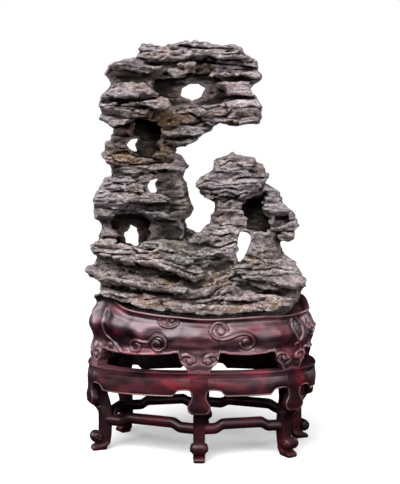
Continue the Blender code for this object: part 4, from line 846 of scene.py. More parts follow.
# ---------------------------------------------------------------- materials
class Nodes:
    """Short hand for building a material's nodes."""

    def __init__(self, name):
        self.material = bpy.data.materials.new(name)
        self.material.use_nodes = True
        self.tree = self.material.node_tree
        self.shader = self.tree.nodes["Principled BSDF"]

    def add(self, kind, **settings):
        node = self.tree.nodes.new(kind)
        for key, value in settings.items():
            setattr(node, key, value)
        return node

    def link(self, source, target):
        self.tree.links.new(source, target)

    def feed(self, node, inputs):
        for key, value in inputs.items():
            socket = node.inputs[key]
            if isinstance(value, bpy.types.NodeSocket):
                self.link(value, socket)
            else:
                socket.default_value = value
        return node

    def attribute(self, name):
        return self.add("ShaderNodeAttribute", attribute_name=name).outputs["Fac"]

    def place(self, scale):
        coordinates = self.add("ShaderNodeTexCoord")
        mapping = self.add("ShaderNodeMapping")
        self.feed(mapping, {"Vector": coordinates.outputs["Object"], "Scale": scale})
        return mapping.outputs["Vector"]

    def height(self):
        split = self.add("ShaderNodeSeparateXYZ")
        self.link(self.add("ShaderNodeTexCoord").outputs["Object"], split.inputs[0])
        return split.outputs["Z"]

    def noise(self, scale, detail=4.0, roughness=0.6, distortion=0.0):
        node = self.add("ShaderNodeTexNoise")
        self.feed(node, {"Vector": self.place(scale), "Scale": 1.0, "Detail": detail,
                         "Roughness": roughness, "Distortion": distortion})
        return node.outputs["Fac"]

    def cells(self, scale, detail):
        """Irregular chips: distance from a chip's middle, and a tone of its own for each."""
        node = self.add("ShaderNodeTexVoronoi")
        self.feed(node, {"Vector": self.place(scale), "Scale": 1.0, "Detail": detail, "Roughness": 0.55})
        tone = self.add("ShaderNodeSeparateColor")
        self.link(node.outputs["Color"], tone.inputs["Color"])
        return node.outputs["Distance"], tone.outputs["Red"]

    def math(self, operation, a, b=0.0, clamp=False):
        node = self.add("ShaderNodeMath", operation=operation, use_clamp=clamp)
        self.feed(node, {0: a, 1: b})
        return node.outputs[0]

    def times(self, a, b, clamp=False):
        return self.math("MULTIPLY", a, b, clamp)

    def tint(self, base, colour):
        """The base colour multiplied by another."""
        return self.mix(1.0, base, colour, "MULTIPLY")

    def finish(self, base, roughness, normal, **sockets):
        """Link the three textured inputs, set the constant ones and give the material."""
        self.feed(self.shader, {"Base Color": base, "Roughness": roughness, "Normal": normal})
        for name, value in sockets.items():
            self.shader.inputs[name.replace("_", " ")].default_value = value
        return self.material

    def ramp(self, value, stops):
        node = self.add("ShaderNodeValToRGB")
        elements = node.color_ramp.elements
        while len(elements) < len(stops):
            elements.new(0.5)
        for element, (position, colour) in zip(elements, stops):
            element.position = position
            element.color = (*colour, 1.0)
        self.link(value, node.inputs["Fac"])
        return node.outputs["Color"]

    def spread(self, value, low, high, to_low=0.0, to_high=1.0):
        node = self.add("ShaderNodeMapRange", clamp=True)
        self.feed(node, {"Value": value, "From Min": low, "From Max": high,
                         "To Min": to_low, "To Max": to_high})
        return node.outputs["Result"]

    def mix(self, share, a, b, blend="MIX"):
        node = self.add("ShaderNodeMix", data_type="RGBA", blend_type=blend)
        sockets = [s for s in node.inputs if s.type == "RGBA"]
        self.feed(node, {0: share})
        for socket, value in zip(sockets, (a, b)):
            if isinstance(value, bpy.types.NodeSocket):
                self.link(value, socket)
            else:
                socket.default_value = (*value, 1.0)
        return [s for s in node.outputs if s.type == "RGBA"][0]

    def bump(self, height, distance, strength=1.0, normal=None):
        node = self.add("ShaderNodeBump")
        self.feed(node, {"Height": height, "Distance": distance, "Strength": strength})
        if normal is not None:
            self.link(normal, node.inputs["Normal"])
        return node.outputs["Normal"]


STONE_TONES = (
    (0.30, (0.165, 0.118, 0.140)), (0.46, (0.330, 0.262, 0.298)), (0.58, (0.460, 0.382, 0.422)),
    (0.74, (0.640, 0.560, 0.590)),
)
CHIP_TONES = ((0.10, (0.52, 0.50, 0.50)), (0.55, (1.0, 1.0, 1.0)), (0.95, (1.35, 1.35, 1.35)))
GRIT_TONES = ((0.34, (0.30, 0.28, 0.28)), (0.50, (0.90, 0.90, 0.90)), (0.66, (1.20, 1.20, 1.20)))
PAINTED_SHADE_TINT = (0.31, 0.34, 0.29)
PAINTED_LIGHT_TINT = (1.80, 1.80, 1.84)
WARM_TINT = (1.10, 1.00, 0.76)
OCHRE = (0.400, 0.195, 0.065)
RIDGE_WEAR_AND_HIGHLIGHT = (0.740, 0.690, 0.690)
LEAF_SHADOW = (0.066, 0.044, 0.034)
CRACK_BROWN = (0.034, 0.020, 0.014)
CAVE_SHADE_BLACK = (0.012, 0.008, 0.007)
GLINT_WHITE = (0.95, 0.92, 0.90)
# Shadow by how closely stone stands round a point: attribute, where it starts, share, colour.
CROWDED = 0.70                   # share of solid round a point at which its shadow is full
HOLLOW_SHADOWS = (
    ("tight", 0.53, 0.92, (0.016, 0.009, 0.006)), ("near", 0.53, 0.80, (0.024, 0.014, 0.009)),
    ("wide", 0.54, 0.85, (0.022, 0.013, 0.008)),
)


def stone_material():
    n = Nodes("stone")
    # The cave attribute carries the painted shade of the caves.
    cave = n.attribute("cave")
    mottle = n.noise((42.0, 42.0, 70.0), 5.0, 0.62)
    hue = n.noise((26.0, 26.0, 44.0), 3.0, 0.55)
    leafing = n.noise((60.0, 60.0, 300.0), 6.0, 0.62, 0.5)
    cracks = n.noise((75.0, 75.0, 260.0), 5.0, 0.62, 0.8)
    chips, chip_tone = n.cells((130.0, 130.0, 290.0), 2.0)
    grit = n.noise((210.0, 210.0, 300.0), 5.0, 0.80)
    speck = n.noise((250.0, 250.0, 330.0), 2.0, 0.6)
    base = n.ramp(mottle, STONE_TONES)
    # Painted shade in set-back places and under ledges.
    base = n.mix(n.attribute("painted_shade"), base, n.tint(base, PAINTED_SHADE_TINT))
    # Painted light: paler on the broad faces that the lamps light.
    base = n.mix(n.attribute("pale"), base, n.tint(base, PAINTED_LIGHT_TINT))
    warm = n.tint(base, WARM_TINT)
    base = n.mix(n.spread(hue, 0.48, 0.62, 0.0, 0.9), base, warm)
    base = n.mix(n.times(n.attribute("low"), 0.45), base, warm)
    base = n.tint(base, n.ramp(chip_tone, CHIP_TONES))
    rust = n.times(n.attribute("rust"), n.spread(mottle, 0.36, 0.58, 0.35, 1.6), True)
    base = n.mix(n.times(rust, 0.95), base, OCHRE)
    # Paler on thin ridges and ledge lips: partly wear, partly a painted highlight.
    base = n.mix(n.times(n.spread(n.attribute("tight"), 0.49, 0.34), 0.50), base, RIDGE_WEAR_AND_HIGHLIGHT)
    base = n.mix(n.spread(leafing, 0.44, 0.34, 0.0, 0.80), base, LEAF_SHADOW)
    gap = n.math("ABSOLUTE", n.math("SUBTRACT", cracks, 0.5))
    base = n.mix(n.spread(gap, 0.018, 0.0, 0.0, 0.90), base, CRACK_BROWN)
    base = n.tint(base, n.ramp(grit, GRIT_TONES))
    for name, start, share, colour in HOLLOW_SHADOWS:
        base = n.mix(n.times(n.spread(n.attribute(name), start, CROWDED), share), base, colour)
    # Painted shade: near black in the caves, where stone stands close round.
    base = n.mix(n.times(cave, n.spread(n.attribute("wide"), 0.44, 0.56, 0.0, 0.9)), base, CAVE_SHADE_BLACK)
    # Painted glints: white specks on open stone, none in crowded places or in the caves.
    painted_glint = n.times(n.spread(speck, 0.61, 0.67, 0.0, 0.8), n.spread(n.attribute("near"), 0.62, 0.50))
    painted_glint = n.times(painted_glint, n.spread(cave, 0.05, 0.35, 1.0, 0.0))
    base = n.mix(painted_glint, base, GLINT_WHITE)
    coarse = n.bump(n.math("ADD", leafing, chips), 0.0034)
    return n.finish(base, n.spread(mottle, 0.3, 0.7, 0.62, 0.42), n.bump(grit, 0.0026, 1.0, coarse),
                    Specular_IOR_Level=0.5)


def make_rock():
    axes, field = rock_grid()
    vertices, faces = read_surface(field, ROCK_LOW, ROCK_CELL)
    vertices, faces = largest_piece(vertices, faces)
    mesh = thinned(mesh_from_arrays("rock_stone", vertices, faces), ROCK_TRIANGLES)
    colour_attributes(mesh, axes, field)
    rock = link_object("rock_stone", mesh)
    dress(rock, stone_material(), STONE_SHARP)
    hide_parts("rock")
    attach(rock, "root")
    return rock


# ---------------------------------------------------------------- wood: sizes, in millimetres unless named
RIM_OFFSET = -8.5
RIM_WIDTH = 5.5
RIM_WALL = 4.0
# The rim's top from its inner wall outward: offset and drop.
RIM_STEPS = ((-RIM_WIDTH - 1.6, 5.0), (-RIM_WIDTH - 0.3, 2.0), (-RIM_WIDTH + 0.6, 1.0), (-3.0, 0.5))
RIM_DROP = 12.0
SEAT_CLEARANCE = 0.0012          # metres, between the stone and its carved basin
FEELER = 0.0035                  # metres, round a point, in which the stone's underside is felt for
FEELER_START = 0.10              # metres, the height from which it is felt for
BASIN_RINGS = (0.12, 0.35, 0.55, 0.72, 0.85, 0.93, 1.00)
FRAME_TOP = 130.0
RAIL_HEIGHT = 8.0
RAIL_WIDTH = 20.0
APRON_THICK = 9.0
APRON_LOW = 95.5
APRON_END = 103.0
APRON_SWELL = 1.6
APRON_STEP = 17.0                # how far from a leg its lower edge starts to drop
APRON_CLIMB = 9.5                # and over what distance
CRADLE_UNDERSIDE = 154.0
FOOT_THICK = 17.0
LEG_ANGLES = (-167.0, -92.0, -30.0, 13.0, 88.0, 150.0)
SHOULDER_HALF = 12.5
SHAFT_HALF = 8.5
SHAFT_OFFSET = -21.5
ROLL_RADIUS = 8.8
ROLL_HALF = 13.3
ROLL_OFFSET = -7.8
ROLL_Z = 19.8
ROLL_GROOVE = 1.1
STRETCHER_RADIUS = 8.0
STRETCHER_LOW = 44.0
STRETCHER_RISE = 6.0
STRETCHER_LEVEL = 0.175          # share of its length that stays low at each end
STRETCHER_CLIMB = 0.115          # and over which it rises
SEAM = 0.15                      # half of the fine joint between two pieces

# How finely the pieces are built.
LEG_STEP = 1.3
ROLL_STATIONS = 33
ROLL_SIDES = 44
APRON_RINGS = 130
RAIL_RINGS = 90
STRETCHER_RINGS = 76
STRETCHER_SIDES = 22
CRADLE_COLUMNS = 800
CRADLE_ROWS = 88

# A leg's profile by height: outer and inner offset from the plan, half width in front and behind.
LEG_OUTER = (
    (0, -1.6), (1, -0.8), (4, -1.0), (6.5, -3.0), (9, -8), (14, -11), (32, -13), (45, -13.2), (55, -12.5),
    (62, -8.6), (66.5, -4.6), (69.2, -2.6), (69.9, -0.8), (71.5, 1.2), (76, 2.0), (84, 2.2), (94, 1.6),
    (103, 1.5), (109, 1.8), (115, 1.3), (121.8, 0.2),
)
LEG_INNER = (
    (0, -22), (6, -24), (8.5, -27), (14, -28.5), (32, -30), (55, -30), (65, -29.5), (76, -27), (84, -24.5),
    (94, -23.5), (103, -23), (121.8, -22),
)
LEG_FRONT = (
    (0, 6.8), (1, 7.6), (6, 8), (9, 7.6), (14, 7.6), (32, 8.5), (55, 8.5), (65, 8.5), (69.2, 8.7),
    (69.9, 9.6), (70.8, 11.6), (72.5, 13.6), (76, 15.6), (80, 16.5), (84, 15.8), (88, 13.2), (92, 11.2),
    (96, 10.8), (100, 11.5), (103, 12.5), (121.8, 12.5),
)
LEG_BACK = (
    (0, 6.8), (1, 7.5), (14, 7.5), (32, 8.5), (84, 8.5), (94, 10), (103, 11), (108, 12.5), (121.8, 12.5),
)
LEG_TOP = 121.8
LAPPET_DEPTH = 9.0
LAPPET_LOW = 69.9
LAPPET_CROWN = 0.6
BEAD_TOP = 106.0
WOOD_SHARP = 38.0                # degrees between faces that keep a crisp edge
CRADLE_SHARP = 50.0
# The cradle's side: share of the way from rim to underside, and offset from the plan.
CRADLE_SIDE = (
    (0.0, -9.6), (0.02, -8.4), (0.05, -8.6), (0.085, -10.6), (0.13, -11.6), (0.28, -7.4), (0.52, -1.8),
    (0.72, -3.4), (0.88, -6.0), (1.0, -4.8), (1.12, -4.0), (1.6, -4.2),
)
# A foot's outline: distance round the plan from its middle, and height of its edge.
CRADLE_FOOT = (
    (0, 130.3), (15.8, 130.3), (16.8, 131.6), (18.0, 134.4), (20.0, 137.4), (23.4, 140.2), (26.0, 143.2),
    (27.8, 147.4), (28.4, 151.6), (29.4, 154.9), (33, 156.4), (42, 155.0), (56, 154.0), (200, 154.0),
)

# Carving on the cradle: distance round the plan from the front leg, and height. It repeats after half a turn.
S_SCROLL = (
    (40.7, 190.5), (36.1, 196.2), (28.6, 198.6), (20.4, 195.1), (17.0, 187.4), (20.4, 180.5), (27.4, 176.9),
    (35.0, 176.4), (43.9, 178.7), (54.1, 182.7), (63.2, 184.3), (72.2, 182.0), (78.3, 175.7), (79.2, 168.7),
    (74.9, 163.8), (67.8, 162.3), (61.3, 164.8), (58.7, 170.0),
)
TWIN_SCROLL = (
    (-87.0, 166.0), (-88.6, 159.5), (-95.0, 157.8), (-101.5, 160.8), (-102.9, 166.6), (-96.2, 172.7),
    (-88.5, 173.1), (-80.9, 171.3), (-73.4, 171.6), (-68.4, 176.5), (-61.1, 181.4), (-53.8, 180.5),
    (-47.9, 173.5), (-47.9, 166.4), (-52.7, 161.6), (-60.0, 159.6), (-66.0, 162.5), (-67.3, 168.3),
    (-63.6, 172.6),
)
HALF_SCROLL = (
    (-58.0, 205.5), (-57.0, 199.0), (-51.5, 194.6), (-44.0, 193.0), (-36.0, 194.4), (-30.6, 199.0),
    (-30.8, 204.0), (-35.5, 206.6), (-41.5, 206.4), (-46.0, 203.2), (-46.0, 199.4),
)
CORNER_LEFT = ((149, 203), (143.5, 194), (145, 182), (151, 172), (158, 162), (164, 153))
CORNER_RIGHT = ((158, 200), (166, 191), (164, 180), (156, 171), (148, 163))
END_SCROLL = (
    (186, 196), (180, 188), (186, 179), (196, 178), (206, 184), (216, 187), (226, 183), (229, 173),
    (222, 165), (213, 168), (214, 176),
)
PANEL_EDGE = (
    (-150.0, 214), (-149.0, 200), (-147.5, 188), (-144.5, 177.5), (-136, 170), (-128, 163), (-118, 156.5),
)
CARVED_LINES = (S_SCROLL, TWIN_SCROLL, HALF_SCROLL, CORNER_LEFT, CORNER_RIGHT, END_SCROLL, PANEL_EDGE)
# Round buttons in the volutes: place, height, radius.
BUTTONS = (
    (-39.6, 201.4, 3.4), (31.2, 189.0, 6.2), (67.2, 171.6, 5.8), (-92.6, 164.6, 5.0), (-60.6, 168.8, 5.2),
    (-139.8, 163.0, 4.6), (190, 187, 5.0), (221, 173, 4.6),
)
# A foot's volute, on both sides of its middle: distance from the foot's middle, and height.
FOOT_SCROLL = (
    (7.0, 144.6), (7.6, 148.4), (10.4, 151.8), (15.0, 153.7), (20.2, 154.0), (24.6, 152.2), (27.0, 148.6),
)
FOOT_BUTTON = (12.8, 145.2, 5.0)
CARVING_START = 190.0            # the carved half turn starts this far before the front leg
SWELL_HEIGHT = 3.1               # of the cradle's hand-cut bumps
LINE_HALF = 1.3                  # half width of a carved line
LINE_HEIGHT = 1.9
GROOVE_DEPTH = 1.0


# ---------------------------------------------------------------- wood: helpers
def curve(knots, at):
    """Smooth curve through knots (position, value), read at positions."""
    place, value = np.array(knots, float).T
    slope = np.gradient(value, place)
    i = np.clip(np.searchsorted(place, at, side="right") - 1, 0, len(place) - 2)
    width = place[i + 1] - place[i]
    t = np.clip((at - place[i]) / width, 0.0, 1.0)
    low = value[i] * (1 + 2 * t) * (1 - t) ** 2 + slope[i] * width * t * (1 - t) ** 2
    high = value[i + 1] * t * t * (3 - 2 * t) - slope[i + 1] * width * t * t * (1 - t)
    return low + high


def plan_xy(angle):
    cos, sin = np.cos(angle), np.sin(angle)
    reach = (np.abs(cos) / PLAN_HALF_X) ** PLAN_POWER + (np.abs(sin) / PLAN_HALF_Y) ** PLAN_POWER
    return cos * reach ** (-1.0 / PLAN_POWER), sin * reach ** (-1.0 / PLAN_POWER)


def plan_out(angle):
    """Outward direction of the plan."""
    x, y = plan_xy(angle)
    nx = np.sign(x) * np.abs(x) ** (PLAN_POWER - 1.0) / PLAN_HALF_X ** PLAN_POWER
    ny = np.sign(y) * np.abs(y) ** (PLAN_POWER - 1.0) / PLAN_HALF_Y ** PLAN_POWER
    length = np.hypot(nx, ny)
    return nx / length, ny / length


def on_plan(angle, offset, height):
    """Points outward from the plan by an offset, at a height, both in millimetres."""
    x, y = plan_xy(angle)
    nx, ny = plan_out(angle)
    offset = offset * MM
    return np.stack(np.broadcast_arrays(x + nx * offset + STAND_X, y + ny * offset, height * MM), axis=-1)


TURN = np.linspace(-math.pi, 3.0 * math.pi, 14401)
RUN = np.concatenate([[0.0], np.cumsum(np.hypot(*(np.diff(v) for v in plan_xy(TURN))))]) / MM


def run_at(angle):
    """Distance along the plan, in millimetres."""
    return np.interp(angle, TURN, RUN)


def angle_at(run):
    return np.interp(run, RUN, TURN)


def leg_angle(index):
    return math.radians(LEG_ANGLES[index % 6]) + 2.0 * math.pi * (index // 6)


FULL_RUN = float(run_at(math.pi))
FRONT_RUN = float(run_at(leg_angle(1)))
UP = np.array((0.0, 0.0, 1.0))


class LegFrame:
    """A leg's own axes: outward offset, side and height, in millimetres, from its point on the plan."""

    def __init__(self, index):
        angle = leg_angle(index)
        self.base = on_plan(angle, 0.0, 0.0)
        nx, ny = plan_out(angle)
        self.out = np.array((nx, ny, 0.0))
        self.side = np.array((-ny, nx, 0.0))

    def at(self, offset, side, height):
        spread = np.broadcast_arrays(offset, side, height)
        offset, side, height = (np.asarray(v, float)[..., None] * MM for v in spread)
        return self.base + offset * self.out + side * self.side + height * UP

    def side_of(self, points):
        return (points - self.base) @ self.side


def slide_to(points, frame, wanted, along):
    """Slide points along a direction until they lie at a wanted side distance of a leg, in millimetres."""
    shift = (wanted * MM - frame.side_of(points)) / (along @ frame.side)
    return points + shift[..., None] * along


def skin_mesh(name, rings):
    """A mesh over rings of equal numbers of points, with flat ends."""
    rings = np.asarray(rings)
    levels, count = rings.shape[:2]
    index = np.arange(levels * count).reshape(levels, count)
    after = np.roll(index, -1, axis=1)
    quads = np.stack([index[:-1], after[:-1], after[1:], index[1:]], axis=-1).reshape(-1, 4)
    faces = quads.tolist() + [index[0][::-1].tolist(), index[-1].tolist()]
    mesh = bpy.data.meshes.new(name)
    mesh.from_pydata(rings.reshape(-1, 3).tolist(), [], faces)
    return mesh


def add_piece(name, mesh, material, sharp=WOOD_SHARP):
    """Link a mesh as an object, with its faces turned outward."""
    work = bmesh.new()
    work.from_mesh(mesh)
    bmesh.ops.recalc_face_normals(work, faces=work.faces)
    if work.calc_volume(signed=True) < 0.0:
        bmesh.ops.reverse_faces(work, faces=work.faces)
    work.to_mesh(mesh)
    work.free()
    piece = link_object(name, mesh)
    dress(piece, material, sharp)
    return piece


def add_lofted(node, rings, material, painted_highlight=None):
    """A lofted wooden piece named after its node."""
    mesh = skin_mesh(node, rings)
    # The bead's painted highlight, if given, goes on the mesh.
    if painted_highlight is not None:
        add_attribute(mesh, "painted_highlight", painted_highlight)
    return add_piece(f"{node}_wood", mesh, material)


def stand_in(piece, node):
    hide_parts(node)
    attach(piece, "root")


def line_distance(u, w, points):
    """Distance from (u, w) to an open line of points."""
    nearest = np.full(u.shape, 1e3)
    points = np.array(points, float)
    for start, end in zip(points[:-1], points[1:]):
        nearest = np.minimum(nearest, segment_distance(u, w, start, end))
    return nearest


def smooth_line(points, parts=5):
    """More points on a smooth curve through the given ones."""
    points = np.array(points, float)
    place = np.concatenate([[0.0], np.cumsum(np.hypot(*np.diff(points, axis=0).T))])
    fine = np.linspace(0.0, place[-1], parts * (len(points) - 1) + 1)
    return np.stack([curve(np.stack([place, points[:, k]], axis=1), fine) for k in (0, 1)], axis=1)


def bead(distance, place=1.1, half=0.85, height=0.75):
    """Profile of a bead that runs beside an edge, with a fine groove inside it."""
    return (height * np.exp(-((distance - place) / half) ** 2)
            - 0.45 * height * np.exp(-((distance - place - 2.1 * half) / half) ** 2))


def bead_highlight(distance, place=1.1, half=1.0):
    """How much a point beside an edge lies on its bead, where a painted highlight makes it lighter."""
    return np.exp(-((distance - place) / half) ** 2)


# ---------------------------------------------------------------- wood: lower stand
def leg_levels():
    marks = [knot[0] for table in (LEG_OUTER, LEG_FRONT) for knot in table]
    even = np.arange(0.0, LEG_TOP, LEG_STEP)
    return np.unique(np.round(np.concatenate([marks, even]), 2))


def leg_section(outer, inner, front, back, soft):
    """Half of a leg's section, from the middle of its face round to the middle of its back."""
    step = max(outer - LAPPET_DEPTH, inner + 4.0)
    return (
        (outer, 0.0), (outer, front * 0.3), (outer, front * 0.58), (outer, front - 3.6), (outer, front - 2.7),
        (outer, front - 2.0), (outer, front - 1.4), (outer - 0.1 * soft, front - 0.8),
        (outer - 0.45 * soft, front - 0.25), (outer - 1.2 * soft, front), (outer - 4.0, front),
        (step + 0.8, front), (step, 0.5 * (front + back)), (step - 0.8, back), (0.5 * (step + inner), back),
        (inner + 2.0, back), (inner + 0.6, back - 0.6), (inner, back - 2.0), (inner, back * 0.5),
        (inner, 0.0),
    )


def leg_rings(frame):
    """Rings of a leg, and how much painted highlight each point takes on its bead."""
    levels = leg_levels()
    outline = np.stack([curve(LEG_FRONT, levels), levels], axis=1)
    outline = outline[(levels >= LAPPET_LOW) & (levels <= BEAD_TOP)]
    outline = np.vstack([[(0.0, LAPPET_LOW)], outline])
    rings, painted_highlight = [], []
    for z in levels:
        sizes = [float(curve(table, z)) for table in (LEG_OUTER, LEG_INNER, LEG_FRONT, LEG_BACK)]
        half = np.array(leg_section(*sizes, float(np.clip((BEAD_TOP - z) / 4.0, 0.12, 1.0))))
        faced = (np.arange(len(half)) < 8) & (z >= LAPPET_LOW)
        away = line_distance(half[:, 1], np.full(len(half), z), outline)
        crown = LAPPET_CROWN * (1.0 - (half[:, 1] / sizes[2]) ** 2) * np.clip((z - 60.0) / 20.0, 0.0, 1.0)
        beaded = np.clip((BEAD_TOP - 1.0 - z) / 3.0, 0.0, 1.0)
        half[:, 0] += np.where(faced, bead(away) * beaded + crown, 0.0)
        # Painted highlight along the bead.
        lit = np.where(faced, bead_highlight(away), 0.0) * beaded
        loop = np.vstack([half, half[-2:0:-1] * (1.0, -1.0)])
        rings.append(frame.at(loop[:, 0], loop[:, 1], z))
        painted_highlight.append(np.concatenate([lit, lit[-2:0:-1]]))
    return rings, np.concatenate(painted_highlight)


def roll_rings(frame):
    """The scroll at the ankle: a roll with domed ends, on which a spiral groove runs in."""
    turn = 2.0 * math.pi * np.arange(ROLL_SIDES) / ROLL_SIDES
    rings = []
    for share in np.sin(0.5 * math.pi * np.linspace(-0.985, 0.985, ROLL_STATIONS)):
        reach = (1.0 - abs(share) ** 4.0) ** 0.45
        inward = (turn / (2.0 * math.pi) + 0.62 + 1.45 * reach) % 1.0
        sunk = min(max((abs(share) - 0.55) / 0.25, 0.0), 1.0)
        groove = ROLL_GROOVE * np.exp(-((inward - 0.5) / 0.13) ** 2) * sunk
        radius = ROLL_RADIUS * reach - groove
        side = share * ROLL_HALF - math.copysign(1.0, share) * groove
        rings.append(frame.at(ROLL_OFFSET + radius * np.cos(turn), side, ROLL_Z + radius * np.sin(turn)))
    return rings


def make_leg(index, material):
    frame = LegFrame(index)
    name = f"leg_{index + 1}"
    rings, painted_highlight = leg_rings(frame)
    leg = add_lofted(name, rings, material, painted_highlight)
    roll = add_piece(f"{name}_roll", skin_mesh(f"{name}_roll", roll_rings(frame)), material)
    union = leg.modifiers.new("scroll", "BOOLEAN")
    union.operation = "UNION"
    union.solver = "MANIFOLD"
    union.object = roll
    joined = evaluated_mesh(leg)
    leg.modifiers.clear()
    leg.data = joined
    bpy.data.objects.remove(roll)
    joined.set_sharp_from_angle(angle=math.radians(WOOD_SHARP))
    stand_in(leg, name)


def smooth_step(share):
    share = np.clip(share, 0.0, 1.0)
    return share * share * (3.0 - 2.0 * share)


def apron_low(run, length):
    """Height of an apron's lower edge: high beside the legs, low between, with a small cusp at the step."""
    near = np.minimum(run, length - run)
    share = smooth_step((near - APRON_STEP) / APRON_CLIMB)
    arch = 1.2 * np.exp(-((near - 8.0) / 7.0) ** 2)
    return APRON_END + arch + (APRON_LOW - APRON_END) * share


def make_apron(index, material):
    left, right = LegFrame(index), LegFrame(index + 1)
    top = FRAME_TOP - RAIL_HEIGHT - SEAM
    start = run_at(leg_angle(index)) + SHOULDER_HALF
    end = run_at(leg_angle(index + 1)) - SHOULDER_HALF
    runs = np.linspace(start, end, APRON_RINGS)
    rings, painted_highlight = [], []
    for run in runs:
        low = float(apron_low(run - start, end - start))
        drop = np.array((0.0, 0.25, 0.5, 0.75, 1.0)) * (top - low - 6.0)
        heights = np.concatenate([top - drop, low + np.array((4.6, 3.6, 2.9, 2.3, 1.7, 1.1, 0.6, 0.2))])
        swell = APRON_SWELL * np.sin(math.pi * np.clip((top - heights) / (top - low), 0.0, 1.0)) + 0.2
        face = swell + bead(heights - low)
        face[-2:] += (-0.25, -0.8)
        # Painted highlight along the bead.
        lit = bead_highlight(heights - low)
        back = ((-2.2, low), (-APRON_THICK + 0.6, low), (-APRON_THICK, low + 0.6), (-APRON_THICK, top))
        profile = np.vstack([np.stack([face, heights], axis=1), back])
        rings.append(on_plan(angle_at(run), profile[:, 0], profile[:, 1]))
        painted_highlight.append(np.concatenate([lit, np.zeros(len(back))]))
    rings = np.array(rings)
    rings[0] = slide_to(rings[0], left, SHOULDER_HALF + SEAM, left.side)
    rings[-1] = slide_to(rings[-1], right, -SHOULDER_HALF - SEAM, right.side)
    name = f"apron_{index + 1}"
    stand_in(add_lofted(name, rings, material, np.concatenate(painted_highlight)), name)


def make_rail(index, material):
    start, end = run_at(leg_angle(index)) + SEAM, run_at(leg_angle(index + 1)) - SEAM
    runs = np.linspace(start, end, RAIL_RINGS)
    low, top = FRAME_TOP - RAIL_HEIGHT + SEAM, FRAME_TOP
    profile = np.array((
        (0.2, low), (0.3, low + 2.0), (0.5, top - 3.4), (0.8, top - 2.8), (1.2, top - 2.2), (1.5, top - 1.4),
        (1.3, top - 0.6), (0.6, top - 0.1), (-0.4, top), (-2.0, top - 0.2), (-3.0, top - 0.1),
        (-RAIL_WIDTH + 0.8, top), (-RAIL_WIDTH, top - 0.8), (-RAIL_WIDTH, low),
    ))
    rings = [on_plan(angle_at(run), profile[:, 0], profile[:, 1]) for run in runs]
    name = f"frame_rail_{index + 1}"
    stand_in(add_lofted(name, rings, material), name)


def make_stretcher(index, material):
    left, right = LegFrame(index), LegFrame(index + 1)
    start = left.at(SHAFT_OFFSET, 0.0, STRETCHER_LOW)
    end = right.at(SHAFT_OFFSET, 0.0, STRETCHER_LOW)
    along = (end - start) / np.linalg.norm(end - start)
    across = np.cross(UP, along)
    shares = np.linspace(0.0, 1.0, STRETCHER_RINGS)
    near = np.minimum(shares, 1.0 - shares)
    lift = smooth_step((near - STRETCHER_LEVEL) / STRETCHER_CLIMB)
    turn = 2.0 * math.pi * np.arange(STRETCHER_SIDES) / STRETCHER_SIDES
    rings = []
    for share, rise in zip(shares, lift):
        middle = start + (end - start) * share + rise * STRETCHER_RISE * MM * UP
        slant = 1.0 + 0.10 * math.sin(math.pi * rise)
        spoke = np.cos(turn)[:, None] * across + slant * np.sin(turn)[:, None] * UP
        rings.append(middle + spoke * STRETCHER_RADIUS * MM)
    rings[0] = slide_to(rings[0], left, SHAFT_HALF + SEAM, along)
    rings[-1] = slide_to(rings[-1], right, -SHAFT_HALF - SEAM, along)
    name = f"stretcher_{index + 1}"
    stand_in(add_lofted(name, rings, material), name)


# ---------------------------------------------------------------- wood: cradle
def rim_height(angle):
    degrees = (np.degrees(angle) + 180.0) % 360.0 - 180.0
    return curve(RIM_HEIGHT, degrees)


def foot_distance(run):
    """Distance round the plan to the nearest foot's middle, in millimetres."""
    marks = [float(run_at(leg_angle(i))) for i in range(-1, 7)]
    return np.min([np.abs(run - mark) for mark in marks], axis=0)


def carving(run, height):
    """Relief on the cradle's side, and how much of each point is a raised line or a groove."""
    around = (run - FRONT_RUN + CARVING_START) % (0.5 * FULL_RUN) - CARVING_START
    foot = foot_distance(run)
    lines, grooves, relief = np.zeros((3, *run.shape))
    for place, points in [(around, line) for line in CARVED_LINES] + [(foot, FOOT_SCROLL)]:
        away = line_distance(place, height, smooth_line(points))
        lines = np.maximum(lines, np.exp(-(away / LINE_HALF) ** 2))
        grooves = np.maximum(grooves, np.exp(-((away - 2.2 * LINE_HALF) / (0.8 * LINE_HALF)) ** 2))
    for place, (middle, z, radius) in [(around, button) for button in BUTTONS] + [(foot, FOOT_BUTTON)]:
        away = np.hypot(place - middle, height - z)
        relief += 0.46 * radius * np.sqrt(np.clip(1.0 - (away / radius) ** 2, 0.0, 1.0))
        grooves = np.maximum(grooves, np.exp(-((away - radius - 0.8) / 0.9) ** 2))
    grooves = np.clip(grooves - lines, 0.0, 1.0)
    return relief + LINE_HEIGHT * lines - GROOVE_DEPTH * grooves, lines, grooves


def cradle_edge(run):
    return curve(CRADLE_FOOT, foot_distance(run))


